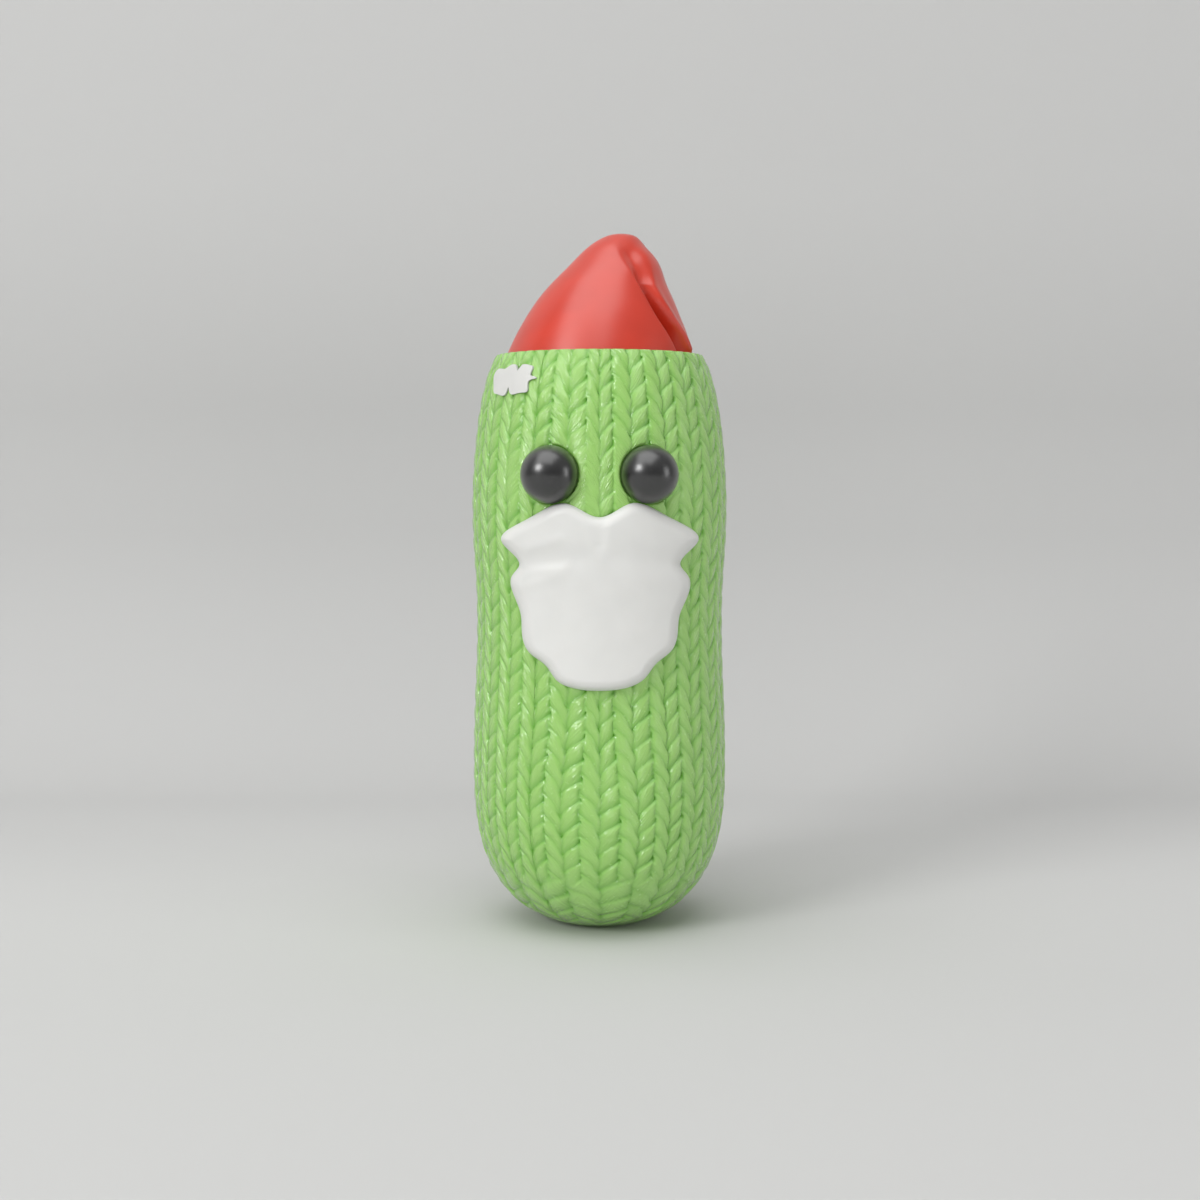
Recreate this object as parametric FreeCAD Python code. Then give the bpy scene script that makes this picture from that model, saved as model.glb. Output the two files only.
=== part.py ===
import FreeCAD, Part
import bisect
import math
import os

from FreeCAD import Vector

# A free-standing pickle ornament. The frame: +Z up, -Y to the front, +X to the viewer's right,
# and the origin at the centre of the flat foot. All lengths are in millimetres, angles in degrees.

# ---------------------------------------------------------------- body outline, over the knit's crowns
FOOT_RADIUS = 6.2            # flat disc that the ornament stands on
FOOT_SLOPE = 12.3            # how steeply the bowl leaves the foot
BODY_RADIUS = 20.3           # widest places of the lower and the upper half
LOWER_HEIGHT = 26.0          # the lower half's widest place
BOWL_SIDE_PULL = 6.75        # how far the bowl's side stays upright below the lower widest place
BOWL_CORNER_OVERHANG = 0.65  # the bowl's corner pole stands this far outside the lower widest place
WAIST_NIP = 0.65             # how much narrower the waist is than the widest places
WAIST_HEIGHT = 49.0
UPPER_DROP = 23.9            # the upper half's widest place, under the rim
SHOULDER_PULL = 5.0          # how far the shoulder stays upright above the upper widest place
RIM_HEIGHT = 90.4
RIM_SLOPE = 33.0             # lean of the shoulder at the rim, from upright
RIM_PULL = 5.8
SIDE_EASE = 0.42             # length of the side curves' handles, as a share of their height

# ---------------------------------------------------------------- body shells
WALL = 1.8
MOUTH_RADIUS = 15.0
RIM_WIDTH = 1.4              # flat top of the body round the mouth
MOUTH_LIP = 2.4              # height of the lip above the collar
SEAM_TONGUE = 0.5            # thickness of the tongue along the seam
SEAM_TONGUE_REACH = 1.0
SEAM_TONGUE_INSET = 0.8      # outside of the tongue, in from the outline
SEAM_TONGUE_BOTTOM = 9.0
SEAM_CLEARANCE = 0.06

# ---------------------------------------------------------------- knit relief: columns of V stitches, cut in from the outline
KNIT_COLUMNS = 23            # columns of stitches round the body
KNIT_SEAM_COLUMN = 6         # the middle of this column, counted from the front one, lies on the side seam
KNIT_FRONT_HALF = 6.0        # half angle of the front column
KNIT_FRONT_HALF_LOW = 8.9    # and of its wider part near the foot
KNIT_WIDE_BELOW = 20.0       # the front column widens between these heights
KNIT_NARROW_ABOVE = 37.0
KNIT_SECOND_WIDTH = 16.4     # angle of the columns next to the front one
KNIT_ROWS = [(0, 0.0907), (6, 0.2942), (21, 0.8512), (25, 0.9928)]  # row, its height as a share of the rim's
KNIT_CLIMB = 1.1             # rows that a crease climbs from its column's middle to its edge
KNIT_CLIMB_POWER = 0.7       # it climbs steeply first
KNIT_LEVEL_ROWS = 3.2        # rows at the foot and the rim over which the creases level out
KNIT_CREASE_DEPTH = 0.36
KNIT_VALLEY_DEPTH = 0.24     # extra depth along the columns' middles and edges
KNIT_FADE_HEIGHT = 8.0       # the relief fades out from here down to the foot
KNIT_STOCK = 0.5             # the body is first made this much too large

# ---------------------------------------------------------------- collar that ties the shells and seats the stopper
COLLAR_RADIAL = 1.25         # thickness of the collar's ring
COLLAR_LEDGE = 1.2           # height of the ledge that the stopper stands on
COLLAR_LEDGE_REACH = 1.5     # how far the ledge reaches in under the stopper
COLLAR_FIT = 0.05
RETAINING_RIB = 1.2          # height of the shells' rib under the collar
RETAINING_RIB_REACH = 0.8    # how far the rib reaches in past the mouth

# ---------------------------------------------------------------- stopper: the hat's white band
STOPPER_FIT = 0.08           # running clearance in the collar, and of the hat in the stopper
STOPPER_HEIGHT = 7.65
STOPPER_RECESS = 0.35        # its top lies this far under the rim
STOPPER_WALL = 1.2
STOPPER_FLOOR = 1.2
BEAD_PROUD = 0.3             # snap bead round the hat's neck
BEAD_HALF_HEIGHT = 0.5
BEAD_DROP = 3.6              # the bead's middle, under the rim

# ---------------------------------------------------------------- hat
HAT_MOUTH_GAP = 0.25         # between the hat's base and the mouth
HAT_HEIGHT = 19.15           # from the rim to the crown
HAT_BASE_DROP = 0.25         # the skirt's underside, under the rim
HAT_WALL = 1.4
HAT_NECK_DROP = 6.4          # the neck's lower end, under the rim
HAT_FLANGE_REACH = 5.25      # the flange between the skirt and the neck, in from the hat's base
HAT_FLANGE_RISE = 1.0
HAT_FLANGE_DROP = 1.5
HAT_CROWN_WALL = 2.2         # top of the hat above its hollow
HAT_SECTION_POINTS = 60
HAT_LEVELS = 14

# The hat from its base to its crown: height as a share of its height, then the left edge,
# the right edge and the half depth as shares of its base radius.
HAT_STATIONS = [
    (0.000, -1.000, 1.000, 1.000),
    (0.198, -0.878, 0.942, 0.919),
    (0.345, -0.769, 0.858, 0.827),
    (0.548, -0.576, 0.732, 0.681),
    (0.710, -0.363, 0.661, 0.539),
    (0.856, -0.173, 0.542, 0.376),
    (0.940, -0.020, 0.447, 0.244),
    (0.982, 0.095, 0.376, 0.142),
]
HAT_CROWN_OFFSET = 0.237     # the crown lies this share of the base radius to the right

# The fold: the hanging tip lies on the right of the hat, with a valley between it and the front.
FOLD_ANGLE_BASE = 55.0       # the valley's place at the rim, from the front towards the right
FOLD_ANGLE_TOP = 6.0         # and where it runs out below the crown
FOLD_HEIGHT = 0.862          # where it runs out, as a share of the hat's height
FOLD_DEPTH_BASE = 3.0
FOLD_DEPTH_TOP = 0.7
FOLD_FRONT_WIDTH_BASE = 12.0  # half width of the valley's side towards the front, in degrees
FOLD_FRONT_WIDTH_TOP = 18.0
FOLD_TIP_WIDTH = 16.0        # half width of the side towards the hanging tip

# ---------------------------------------------------------------- eyes
EYE_RADIUS = 4.35
EYE_X = 7.42
EYE_DROP = 18.7              # the eyes' middles, under the rim
EYE_CENTRE_PROUD = 0.1       # the ball's centre, outside the body's widest place
EYE_BACK = 0.7               # the ball's flat back and the seat that it lies on, behind the ball's centre
EYE_SEAT_CLEARANCE = 0.12
EYE_SHANK_RADIUS = 1.4
EYE_SHANK_LENGTH = 4.9
EYE_PAD_THICKNESS = 2.5      # from the seat to the pad's inner face, where the washer bears
PAD_RADIUS = 3.8
SHANK_GROOVES = 3
SHANK_GROOVE_DEPTH = 0.2
SHANK_GROOVE_PITCH = 0.8
SHANK_GROOVE_WIDTH = 0.35

# ---------------------------------------------------------------- moustache and beard
BEARD_THICKNESS = 2.2
BEARD_EDGE_ROUND = 1.0
BEARD_GAP = 0.04
PROFILE_POINTS = 60          # points read off each curve of the body's outline
LEVEL_EDGE = 0.001           # an edge that rises less than this lies across the beard, not along its rim
BEARD_OUTLINE = [            # (x, height over the eyes' middles) from the front, clockwise from the notch
    (0.1, -6.3), (4.4, -4.35), (10.6, -6.45), (15.0, -10.1), (12.2, -13.55), (13.5, -15.4), (13.3, -18.6),
    (12.1, -21.4), (11.8, -24.3), (11.0, -26.4), (8.4, -28.5), (6.9, -30.4), (4.5, -31.7), (0.2, -32.2),
    (-4.2, -31.8), (-6.5, -30.7), (-8.0, -28.7), (-10.7, -26.7), (-11.7, -24.3), (-11.9, -21.2), (-13.0, -18.2),
    (-13.3, -15.4), (-12.1, -13.65), (-14.9, -10.1), (-10.9, -6.7), (-4.5, -4.4),
]
PEG_PLACES = [(-6.5, -11.2), (6.5, -11.2), (0.0, -25.7)]
PEG_RADIUS = 1.2
PEG_PAD_DEPTH = 4.45         # inner face of the shell's pads, where the washers bear, in from the waist
PEG_END_DEPTH = 6.65         # the pegs' inner ends, in from the waist

# ---------------------------------------------------------------- push-on lock washers
WASHER_THICKNESS = 0.5
WASHER_WIDTH = 2.0           # from its hole to its edge
HOLE_CLEARANCE = 0.1

# ---------------------------------------------------------------- ballast
BALLAST_RADIUS = 12.0
BALLAST_HEIGHT = 9.5
BALLAST_CHAMFER = 1.5
BALLAST_SEAT_HEIGHT = 5.4    # the boss's shoulder
BOSS_SHOULDER_RADIUS = 5.0
BOSS_RADIUS = 2.4
BOSS_ABOVE_BALLAST = 2.6

# ---------------------------------------------------------------- patch
PATCH_THICKNESS = 0.32
PATCH_DROP = 2.1             # its upper edge, under the rim
PATCH_HEIGHT = 4.5
PATCH_ANGLE_FROM = 28.5      # from the front towards the left
PATCH_ANGLE_TO = 60.5

UP = Vector(0, 0, 1)
AXIS_POINT = Vector(0, 0, 0)
FAR = 60.0                   # larger than the ornament's radius, for cutting blocks
OUTLINE_POINTS = 200         # points read off each curve of the outline for the relief

# ---------------------------------------------------------------- sizes that follow
WAIST_RADIUS = BODY_RADIUS - WAIST_NIP
RIM_RADIUS = MOUTH_RADIUS + RIM_WIDTH
UPPER_HEIGHT = RIM_HEIGHT - UPPER_DROP
EYE_HEIGHT = RIM_HEIGHT - EYE_DROP
PATCH_TOP = RIM_HEIGHT - PATCH_DROP
PATCH_BOTTOM = PATCH_TOP - PATCH_HEIGHT
COLLAR_OUTER = MOUTH_RADIUS - COLLAR_FIT + COLLAR_RADIAL
COLLAR_BORE = MOUTH_RADIUS - COLLAR_FIT
STOPPER_RADIUS = COLLAR_BORE - STOPPER_FIT
STOPPER_TOP = RIM_HEIGHT - STOPPER_RECESS
STOPPER_BOTTOM = STOPPER_TOP - STOPPER_HEIGHT
STOPPER_BORE = STOPPER_RADIUS - STOPPER_WALL
COLLAR_TOP = RIM_HEIGHT - MOUTH_LIP
COLLAR_BOTTOM = STOPPER_BOTTOM - COLLAR_LEDGE
RIB_BOTTOM = COLLAR_BOTTOM - RETAINING_RIB
HAT_NECK_RADIUS = STOPPER_BORE - STOPPER_FIT
HAT_BASE_RADIUS = MOUTH_RADIUS - HAT_MOUTH_GAP
EYE_CENTRE_REACH = BODY_RADIUS + EYE_CENTRE_PROUD
EYE_SEAT_REACH = EYE_CENTRE_REACH - EYE_BACK
EYE_PAD_REACH = EYE_SEAT_REACH - EYE_PAD_THICKNESS
EYE_SHANK_END_REACH = EYE_SEAT_REACH - EYE_SHANK_LENGTH
EYE_ANGLE = math.degrees(math.asin(EYE_X / EYE_CENTRE_REACH))
PEG_PAD_Y = PEG_PAD_DEPTH - WAIST_RADIUS
PEG_END_Y = PEG_END_DEPTH - WAIST_RADIUS


def bezier(*poles):
    """An edge in the XZ plane through poles given as (radius, height)."""
    curve = Part.BezierCurve()
    curve.setPoles([Vector(radius, 0, height) for radius, height in poles])
    return curve.toShape()


def body_profile(inset):
    """The body's outline from foot to rim, moved in towards the axis by inset (out if negative)."""
    slope = math.radians(FOOT_SLOPE)
    widest, waist = BODY_RADIUS - inset, WAIST_RADIUS - inset
    foot = (FOOT_RADIUS - inset * math.sin(slope), inset * math.cos(slope))
    corner_radius = widest + BOWL_CORNER_OVERHANG
    corner = (corner_radius, foot[1] + (corner_radius - foot[0]) * math.tan(slope))
    lower_ease = SIDE_EASE * (WAIST_HEIGHT - LOWER_HEIGHT)
    upper_ease = SIDE_EASE * (UPPER_HEIGHT - WAIST_HEIGHT)
    lean = math.radians(RIM_SLOPE)
    rim = (RIM_RADIUS - inset, RIM_HEIGHT)
    rim_pole = (rim[0] + RIM_PULL * math.sin(lean), rim[1] - RIM_PULL * math.cos(lean))
    return [
        bezier(foot, corner, (widest, LOWER_HEIGHT - BOWL_SIDE_PULL), (widest, LOWER_HEIGHT)),
        bezier((widest, LOWER_HEIGHT), (widest, LOWER_HEIGHT + lower_ease),
               (waist, WAIST_HEIGHT - lower_ease), (waist, WAIST_HEIGHT)),
        bezier((waist, WAIST_HEIGHT), (waist, WAIST_HEIGHT + upper_ease),
               (widest, UPPER_HEIGHT - upper_ease), (widest, UPPER_HEIGHT)),
        bezier((widest, UPPER_HEIGHT), (widest, UPPER_HEIGHT + SHOULDER_PULL), rim_pole, rim),
    ]


def line(start, end):
    """A straight edge in the XZ plane between two (radius, height) points."""
    return Part.LineSegment(Vector(start[0], 0, start[1]), Vector(end[0], 0, end[1])).toShape()


def ends(edges):
    """The first and the last point of a chain of edges, as (radius, height)."""
    first, last = edges[0].firstVertex(True).Point, edges[-1].lastVertex(True).Point
    return (first.x, first.z), (last.x, last.z)


def turned(points):
    """A solid turned about the axis from straight-sided (radius, height) corners."""
    corners = [Vector(radius, 0, height) for radius, height in points]
    wire = Part.makePolygon(corners + corners[:1])
    return Part.Face(wire).revolve(AXIS_POINT, UP, 360)


def body_solid(inset):
    """The whole body without its hollow, moved in by inset."""
    edges = body_profile(inset)
    foot, rim = ends(edges)
    top, bottom = (0, rim[1]), (0, foot[1])
    closed = [line(bottom, foot)] + edges + [line(rim, top), line(top, bottom)]
    return Part.Face(Part.Wire(closed)).revolve(AXIS_POINT, UP, 360)


def disc(radius, bottom, top):
    """An upright cylinder on the axis between two heights."""
    return Part.makeCylinder(radius, top - bottom, Vector(0, 0, bottom), UP)


def ring(outer, inner, bottom, top):
    """An upright ring on the axis between two heights."""
    return disc(outer, bottom, top).cut(disc(inner, bottom, top))


def rod(radius, start_reach, end_reach, angle, height):
    """A cylinder square to the axis, between two reaches, at an angle from the front to the right."""
    turn = math.radians(angle)
    outward = Vector(math.sin(turn), -math.cos(turn), 0)
    start = outward * start_reach + Vector(0, 0, height)
    return Part.makeCylinder(radius, end_reach - start_reach, start, outward)


def peg_rod(radius, front_y, back_y, place):
    """A cylinder that runs straight back from front_y to back_y at a peg's place."""
    start = Vector(place[0], front_y, EYE_HEIGHT + place[1])
    return Part.makeCylinder(radius, back_y - front_y, start, Vector(0, 1, 0))


def between(start, end, share):
    """The value a share of the way from start to end."""
    return start + (end - start) * share


def ease(share):
    """A smooth step from 0 to 1."""
    share = min(max(share, 0.0), 1.0)
    return share * share * (3.0 - 2.0 * share)


def read_off(places, values, at):
    """The value at a place, on straight lines between the known ones."""
    index = min(max(bisect.bisect_right(places, at) - 1, 0), len(places) - 2)
    share = (at - places[index]) / (places[index + 1] - places[index])
    return between(values[index], values[index + 1], share)


def body_outline():
    """Lengths along the body's outline from the foot's edge up, with the radius and height at each."""
    points = []
    for edge in body_profile(0):
        points += edge.discretize(OUTLINE_POINTS)[1 if points else 0:]
    lengths = [0.0]
    for below, above in zip(points, points[1:]):
        lengths.append(lengths[-1] + below.distanceToPoint(above))
    return lengths, [point.x for point in points], [point.z for point in points]


def knit_rows(lengths, heights):
    """Row numbers and their lengths along the outline, carried on to the foot's edge and the rim."""
    rows = [row for row, _ in KNIT_ROWS]
    places = [read_off(heights, lengths, share * RIM_HEIGHT) for _, share in KNIT_ROWS]
    low_pitch = (places[1] - places[0]) / (rows[1] - rows[0])
    high_pitch = (places[-1] - places[-2]) / (rows[-1] - rows[-2])
    foot = rows[0] - places[0] / low_pitch
    rim = rows[-1] + (lengths[-1] - places[-1]) / high_pitch
    return [foot] + rows + [rim], [0.0] + places + [lengths[-1]]


def knit_angle(column, height):
    """The angle from the front of a column's coordinate, which is whole in each column's middle."""
    away = abs(column)
    front = between(KNIT_FRONT_HALF_LOW, KNIT_FRONT_HALF,
                    ease((height - KNIT_WIDE_BELOW) / (KNIT_NARROW_ABOVE - KNIT_WIDE_BELOW)))
    places = [0.0, 0.5, 1.5, KNIT_SEAM_COLUMN, KNIT_COLUMNS / 2, KNIT_COLUMNS - KNIT_SEAM_COLUMN]
    angles = [0.0, front, front + KNIT_SECOND_WIDTH, 90.0, 180.0, 270.0]
    return math.copysign(read_off(places, angles, away), column)


def swing(depth, deep):
    """How far a pole is sunk so that a cubic surface over poles sunk in turns is level or depth deep."""
    return 2 * depth if deep else -depth


def knit_pole(column, level, outline, rows):
    """A pole of the relief, on a column's coordinate and a level of half a row that follows the creases."""
    lengths, radii, heights = outline
    numbers, places = rows
    across = 2 * abs(column - round(column))
    level_out = ease((level - numbers[0]) / KNIT_LEVEL_ROWS) * ease((numbers[-1] - level) / KNIT_LEVEL_ROWS)
    row = level + level_out * KNIT_CLIMB * across ** KNIT_CLIMB_POWER
    length = read_off(numbers, places, row)
    height = read_off(lengths, heights, length)
    depth = swing(KNIT_CREASE_DEPTH, level == round(level)) + swing(KNIT_VALLEY_DEPTH, across in (0, 1))
    reach = read_off(lengths, radii, length) - depth * ease(height / KNIT_FADE_HEIGHT)
    turn = math.radians(knit_angle(column, height))
    return Vector(reach * math.sin(turn), -reach * math.cos(turn), height)


def cubic_knots(poles):
    """Knots and their multiplicities for a row of poles of a cubic surface that ends on its last poles."""
    inner = poles - 4
    return list(range(inner + 2)), [4] + [1] * inner + [4]


def knit_half(start, end):
    """The half of the body between two column middles on the seam, solid, under its knit surface."""
    outline = body_outline()
    rows = knit_rows(outline[0], outline[2])
    foot, rim = rows[0][0], rows[0][-1]
    levels = [half_row / 2 for half_row in range(math.ceil(2 * foot + 1), math.floor(2 * rim - 1) + 1)]
    quarters = range(4 * start, 4 * end + 1)
    poles = [[knit_pole(quarter / 4, level, outline, rows) for level in [foot] + levels + [rim]]
             for quarter in quarters]
    across_knots, across_counts = cubic_knots(len(poles))
    up_knots, up_counts = cubic_knots(len(poles[0]))
    surface = Part.BSplineSurface()
    surface.buildFromPolesMultsKnots(poles, across_counts, up_counts, across_knots, up_knots, False, False, 3, 3)
    first_side, last_side, bottom, top = surface.bounds()
    corners = [[surface.value(side, level) for level in (bottom, top)] for side in (first_side, last_side)]
    sides = [surface.uIso(side).toShape() for side in (first_side, last_side)]
    foot_edge, rim_edge = surface.vIso(bottom).toShape(), surface.vIso(top).toShape()
    foot_chord, rim_chord = (Part.LineSegment(first, last).toShape() for first, last in zip(*corners))
    flats = [Part.Face(Part.Wire(Part.__sortEdges__(edges)))
             for edges in (sides + [foot_chord, rim_chord], [foot_edge, foot_chord], [rim_edge, rim_chord])]
    skin = Part.makeShell([surface.toShape()] + flats)
    skin.sewShape()
    solid = Part.makeSolid(skin)
    return solid if solid.Volume > 0 else solid.reversed()


def hollow_body():
    """The body with its hollow, mouth, collar groove, ballast boss and pads, before the relief trims it."""
    outside = body_solid(-KNIT_STOCK)
    body = outside.cut(body_solid(WALL).common(disc(FAR, 0, RIB_BOTTOM)))
    body = body.cut(disc(MOUTH_RADIUS - RETAINING_RIB_REACH, RIB_BOTTOM, COLLAR_BOTTOM))
    body = body.cut(disc(COLLAR_OUTER + COLLAR_FIT, COLLAR_BOTTOM, COLLAR_TOP))
    body = body.cut(disc(MOUTH_RADIUS, COLLAR_TOP, RIM_HEIGHT))
    boss_top = BALLAST_SEAT_HEIGHT + BALLAST_HEIGHT + BOSS_ABOVE_BALLAST
    boss = disc(BOSS_SHOULDER_RADIUS, WALL / 2, BALLAST_SEAT_HEIGHT).fuse(disc(BOSS_RADIUS, WALL / 2, boss_top))
    body = body.fuse(boss)
    for side in (-1, 1):
        body = body.fuse(rod(PAD_RADIUS, EYE_PAD_REACH, FAR, side * EYE_ANGLE, EYE_HEIGHT).common(outside))
    for place in PEG_PLACES:
        body = body.fuse(peg_rod(PAD_RADIUS, -FAR, PEG_PAD_Y, place).common(outside))
    return body


def seam_strip(clearance, start_y, reach):
    """The tongue along both side seams, grown by clearance, from start_y back to reach."""
    outer = body_profile(SEAM_TONGUE_INSET - clearance)
    inner = body_profile(SEAM_TONGUE_INSET + SEAM_TONGUE + clearance)
    outer_foot, outer_rim = ends(outer)
    inner_foot, inner_rim = ends(inner)
    closing = [line(outer_rim, inner_rim), line(inner_foot, outer_foot)]
    strip = Part.Face(Part.Wire(Part.__sortEdges__(outer + inner + closing)))
    strip = strip.extrude(Vector(0, reach - start_y, 0))
    strip.translate(Vector(0, start_y, 0))
    bottom, top = SEAM_TONGUE_BOTTOM - clearance, RIB_BOTTOM + clearance
    strip = strip.common(Part.makeBox(2 * FAR, 2 * FAR, top - bottom, Vector(-FAR, -FAR, bottom)))
    return strip.fuse(strip.mirror(AXIS_POINT, Vector(1, 0, 0)))


def body_front_shell(body):
    """Front half: the seats and holes for the eyes, the holes for the beard, and the seam's tongue."""
    shell = body.common(knit_half(-KNIT_SEAM_COLUMN, KNIT_SEAM_COLUMN))
    for side in (-1, 1):
        angle = side * EYE_ANGLE
        shell = shell.cut(rod(EYE_RADIUS + EYE_SEAT_CLEARANCE, EYE_SEAT_REACH, FAR, angle, EYE_HEIGHT))
        shell = shell.cut(rod(EYE_SHANK_RADIUS + HOLE_CLEARANCE, EYE_SHANK_END_REACH, FAR, angle, EYE_HEIGHT))
    for place in PEG_PLACES:
        shell = shell.cut(peg_rod(PEG_RADIUS + HOLE_CLEARANCE, -FAR, PEG_END_Y, place))
    return shell.fuse(seam_strip(0, -SEAM_TONGUE, SEAM_TONGUE_REACH)).removeSplitter()


def body_rear_shell(body):
    """Rear half, with the seam's groove."""
    shell = body.common(knit_half(KNIT_SEAM_COLUMN, KNIT_COLUMNS - KNIT_SEAM_COLUMN))
    return shell.cut(seam_strip(SEAM_CLEARANCE, -SEAM_TONGUE, SEAM_TONGUE_REACH + SEAM_CLEARANCE))


def mouth_collar():
    """Ring clamped between the shells under the lip, with a ledge that the stopper stands on."""
    ledge_radius = COLLAR_BORE - COLLAR_LEDGE_REACH
    collar_top, ledge_top = COLLAR_TOP - COLLAR_FIT, STOPPER_BOTTOM
    return turned([
        (COLLAR_OUTER, COLLAR_BOTTOM + COLLAR_FIT), (COLLAR_OUTER, collar_top), (COLLAR_BORE, collar_top),
        (COLLAR_BORE, ledge_top), (ledge_radius, ledge_top), (ledge_radius, COLLAR_BOTTOM + COLLAR_FIT),
    ])


def hat_trim():
    """The hat's white band: a cup that stands on the collar's ledge and holds the hat's neck."""
    bead_height = RIM_HEIGHT - BEAD_DROP
    groove_radius = STOPPER_BORE + BEAD_PROUD
    floor_top = STOPPER_BOTTOM + STOPPER_FLOOR
    return turned([
        (0, STOPPER_BOTTOM), (STOPPER_RADIUS, STOPPER_BOTTOM), (STOPPER_RADIUS, STOPPER_TOP),
        (STOPPER_BORE, STOPPER_TOP), (STOPPER_BORE, bead_height + BEAD_HALF_HEIGHT + BEAD_PROUD),
        (groove_radius, bead_height + BEAD_HALF_HEIGHT), (groove_radius, bead_height - BEAD_HALF_HEIGHT),
        (STOPPER_BORE, bead_height - BEAD_HALF_HEIGHT - BEAD_PROUD), (STOPPER_BORE, floor_top), (0, floor_top),
    ])


def fold_rise(height):
    """How far up the fold a height above the rim lies, from 0 at the rim to 1 where it runs out."""
    return min(height / (FOLD_HEIGHT * HAT_HEIGHT), 1.0)


def fold_angle(height):
    """The angle at which the bottom of the fold's valley lies, from the front towards the right."""
    return between(FOLD_ANGLE_BASE, FOLD_ANGLE_TOP, fold_rise(height))


def fold_depth(offset, height):
    """How deep the valley cuts the hat at an angle of -180 to 180 from its bottom, and a height."""
    rise = fold_rise(height)
    width = between(FOLD_FRONT_WIDTH_BASE, FOLD_FRONT_WIDTH_TOP, rise) if offset < 0 else FOLD_TIP_WIDTH
    return between(FOLD_DEPTH_BASE, FOLD_DEPTH_TOP, rise) * math.exp(-(offset / width) ** 2)


def hat_levels():
    """Height, left edge, right edge and half depth at even heights, on smooth curves through the stations."""
    rises = [station[0] for station in HAT_STATIONS]
    sides, depths = Part.BSplineCurve(), Part.BSplineCurve()
    sides.interpolate([Vector(rise, left, right) for rise, left, right, _ in HAT_STATIONS], Parameters=rises)
    depths.interpolate([Vector(rise, depth, 0) for rise, _, _, depth in HAT_STATIONS], Parameters=rises)
    levels = []
    for step in range(HAT_LEVELS + 1):
        rise = rises[-1] * step / HAT_LEVELS
        left, right, half_depth = sides.value(rise).y, sides.value(rise).z, depths.value(rise).y
        levels.append((rise * HAT_HEIGHT, left * HAT_BASE_RADIUS, right * HAT_BASE_RADIUS,
                       half_depth * HAT_BASE_RADIUS))
    return levels


def hat_section(level, inset):
    """A closed curve round the hat at a level, moved in by inset."""
    height, left, right, half_depth = level
    middle, half_width = (left + right) / 2, (right - left) / 2
    shrink = half_width / HAT_BASE_RADIUS
    points = []
    for step in range(HAT_SECTION_POINTS):
        angle = 360.0 * step / HAT_SECTION_POINTS
        turn = math.radians(angle)
        reach = 1.0 / math.hypot(math.sin(turn) / half_width, math.cos(turn) / half_depth)
        offset = (angle - fold_angle(height) + 180.0) % 360.0 - 180.0
        reach -= inset + shrink * fold_depth(offset, height)
        points.append(Vector(middle + reach * math.sin(turn), -reach * math.cos(turn), RIM_HEIGHT + height))
    curve = Part.BSplineCurve()
    curve.interpolate(points, PeriodicFlag=True)
    return Part.Wire(curve.toShape())


def hat_form(levels, inset, crown_height):
    """The hat's form lofted through its levels up to the crown."""
    sections = [hat_section(level, inset) for level in levels]
    crown = Part.Vertex(Vector(HAT_CROWN_OFFSET * HAT_BASE_RADIUS, 0, RIM_HEIGHT + crown_height))
    return Part.makeLoft(sections + [crown], True, False)


def hat_shell():
    """The hollow hat with its folded tip, its flange and the neck with the snap bead."""
    bead_height = RIM_HEIGHT - BEAD_DROP
    bead_radius = HAT_NECK_RADIUS + BEAD_PROUD
    neck_bottom, skirt_bottom = RIM_HEIGHT - HAT_NECK_DROP, RIM_HEIGHT - HAT_BASE_DROP
    inner_neck = HAT_NECK_RADIUS - HAT_WALL
    levels = hat_levels()
    base_wire = hat_section(levels[0], 0)
    skirt = Part.Face(base_wire).extrude(Vector(0, 0, -HAT_BASE_DROP))
    outside = hat_form(levels, 0, HAT_HEIGHT).fuse(skirt)
    neck = turned([
        (0, neck_bottom), (HAT_NECK_RADIUS, neck_bottom),
        (HAT_NECK_RADIUS, bead_height - BEAD_HALF_HEIGHT - BEAD_PROUD),
        (bead_radius, bead_height - BEAD_HALF_HEIGHT), (bead_radius, bead_height + BEAD_HALF_HEIGHT),
        (HAT_NECK_RADIUS, bead_height + BEAD_HALF_HEIGHT + BEAD_PROUD),
        (HAT_NECK_RADIUS, skirt_bottom), (0, skirt_bottom),
    ])
    inner_levels = [level for level in levels if level[0] <= HAT_HEIGHT - 2 * HAT_CROWN_WALL]
    hollow = hat_form(inner_levels, HAT_WALL, HAT_HEIGHT - HAT_CROWN_WALL)
    flange_top, flange_bottom = RIM_HEIGHT + HAT_FLANGE_RISE, RIM_HEIGHT - HAT_FLANGE_DROP
    hollow = hollow.common(disc(FAR, flange_top, RIM_HEIGHT + FAR))
    hollow = hollow.fuse(disc(HAT_BASE_RADIUS - HAT_FLANGE_REACH, flange_bottom, flange_top))
    hollow = hollow.fuse(disc(inner_neck, neck_bottom, flange_bottom))
    return outside.fuse(neck).cut(hollow).removeSplitter()


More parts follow.
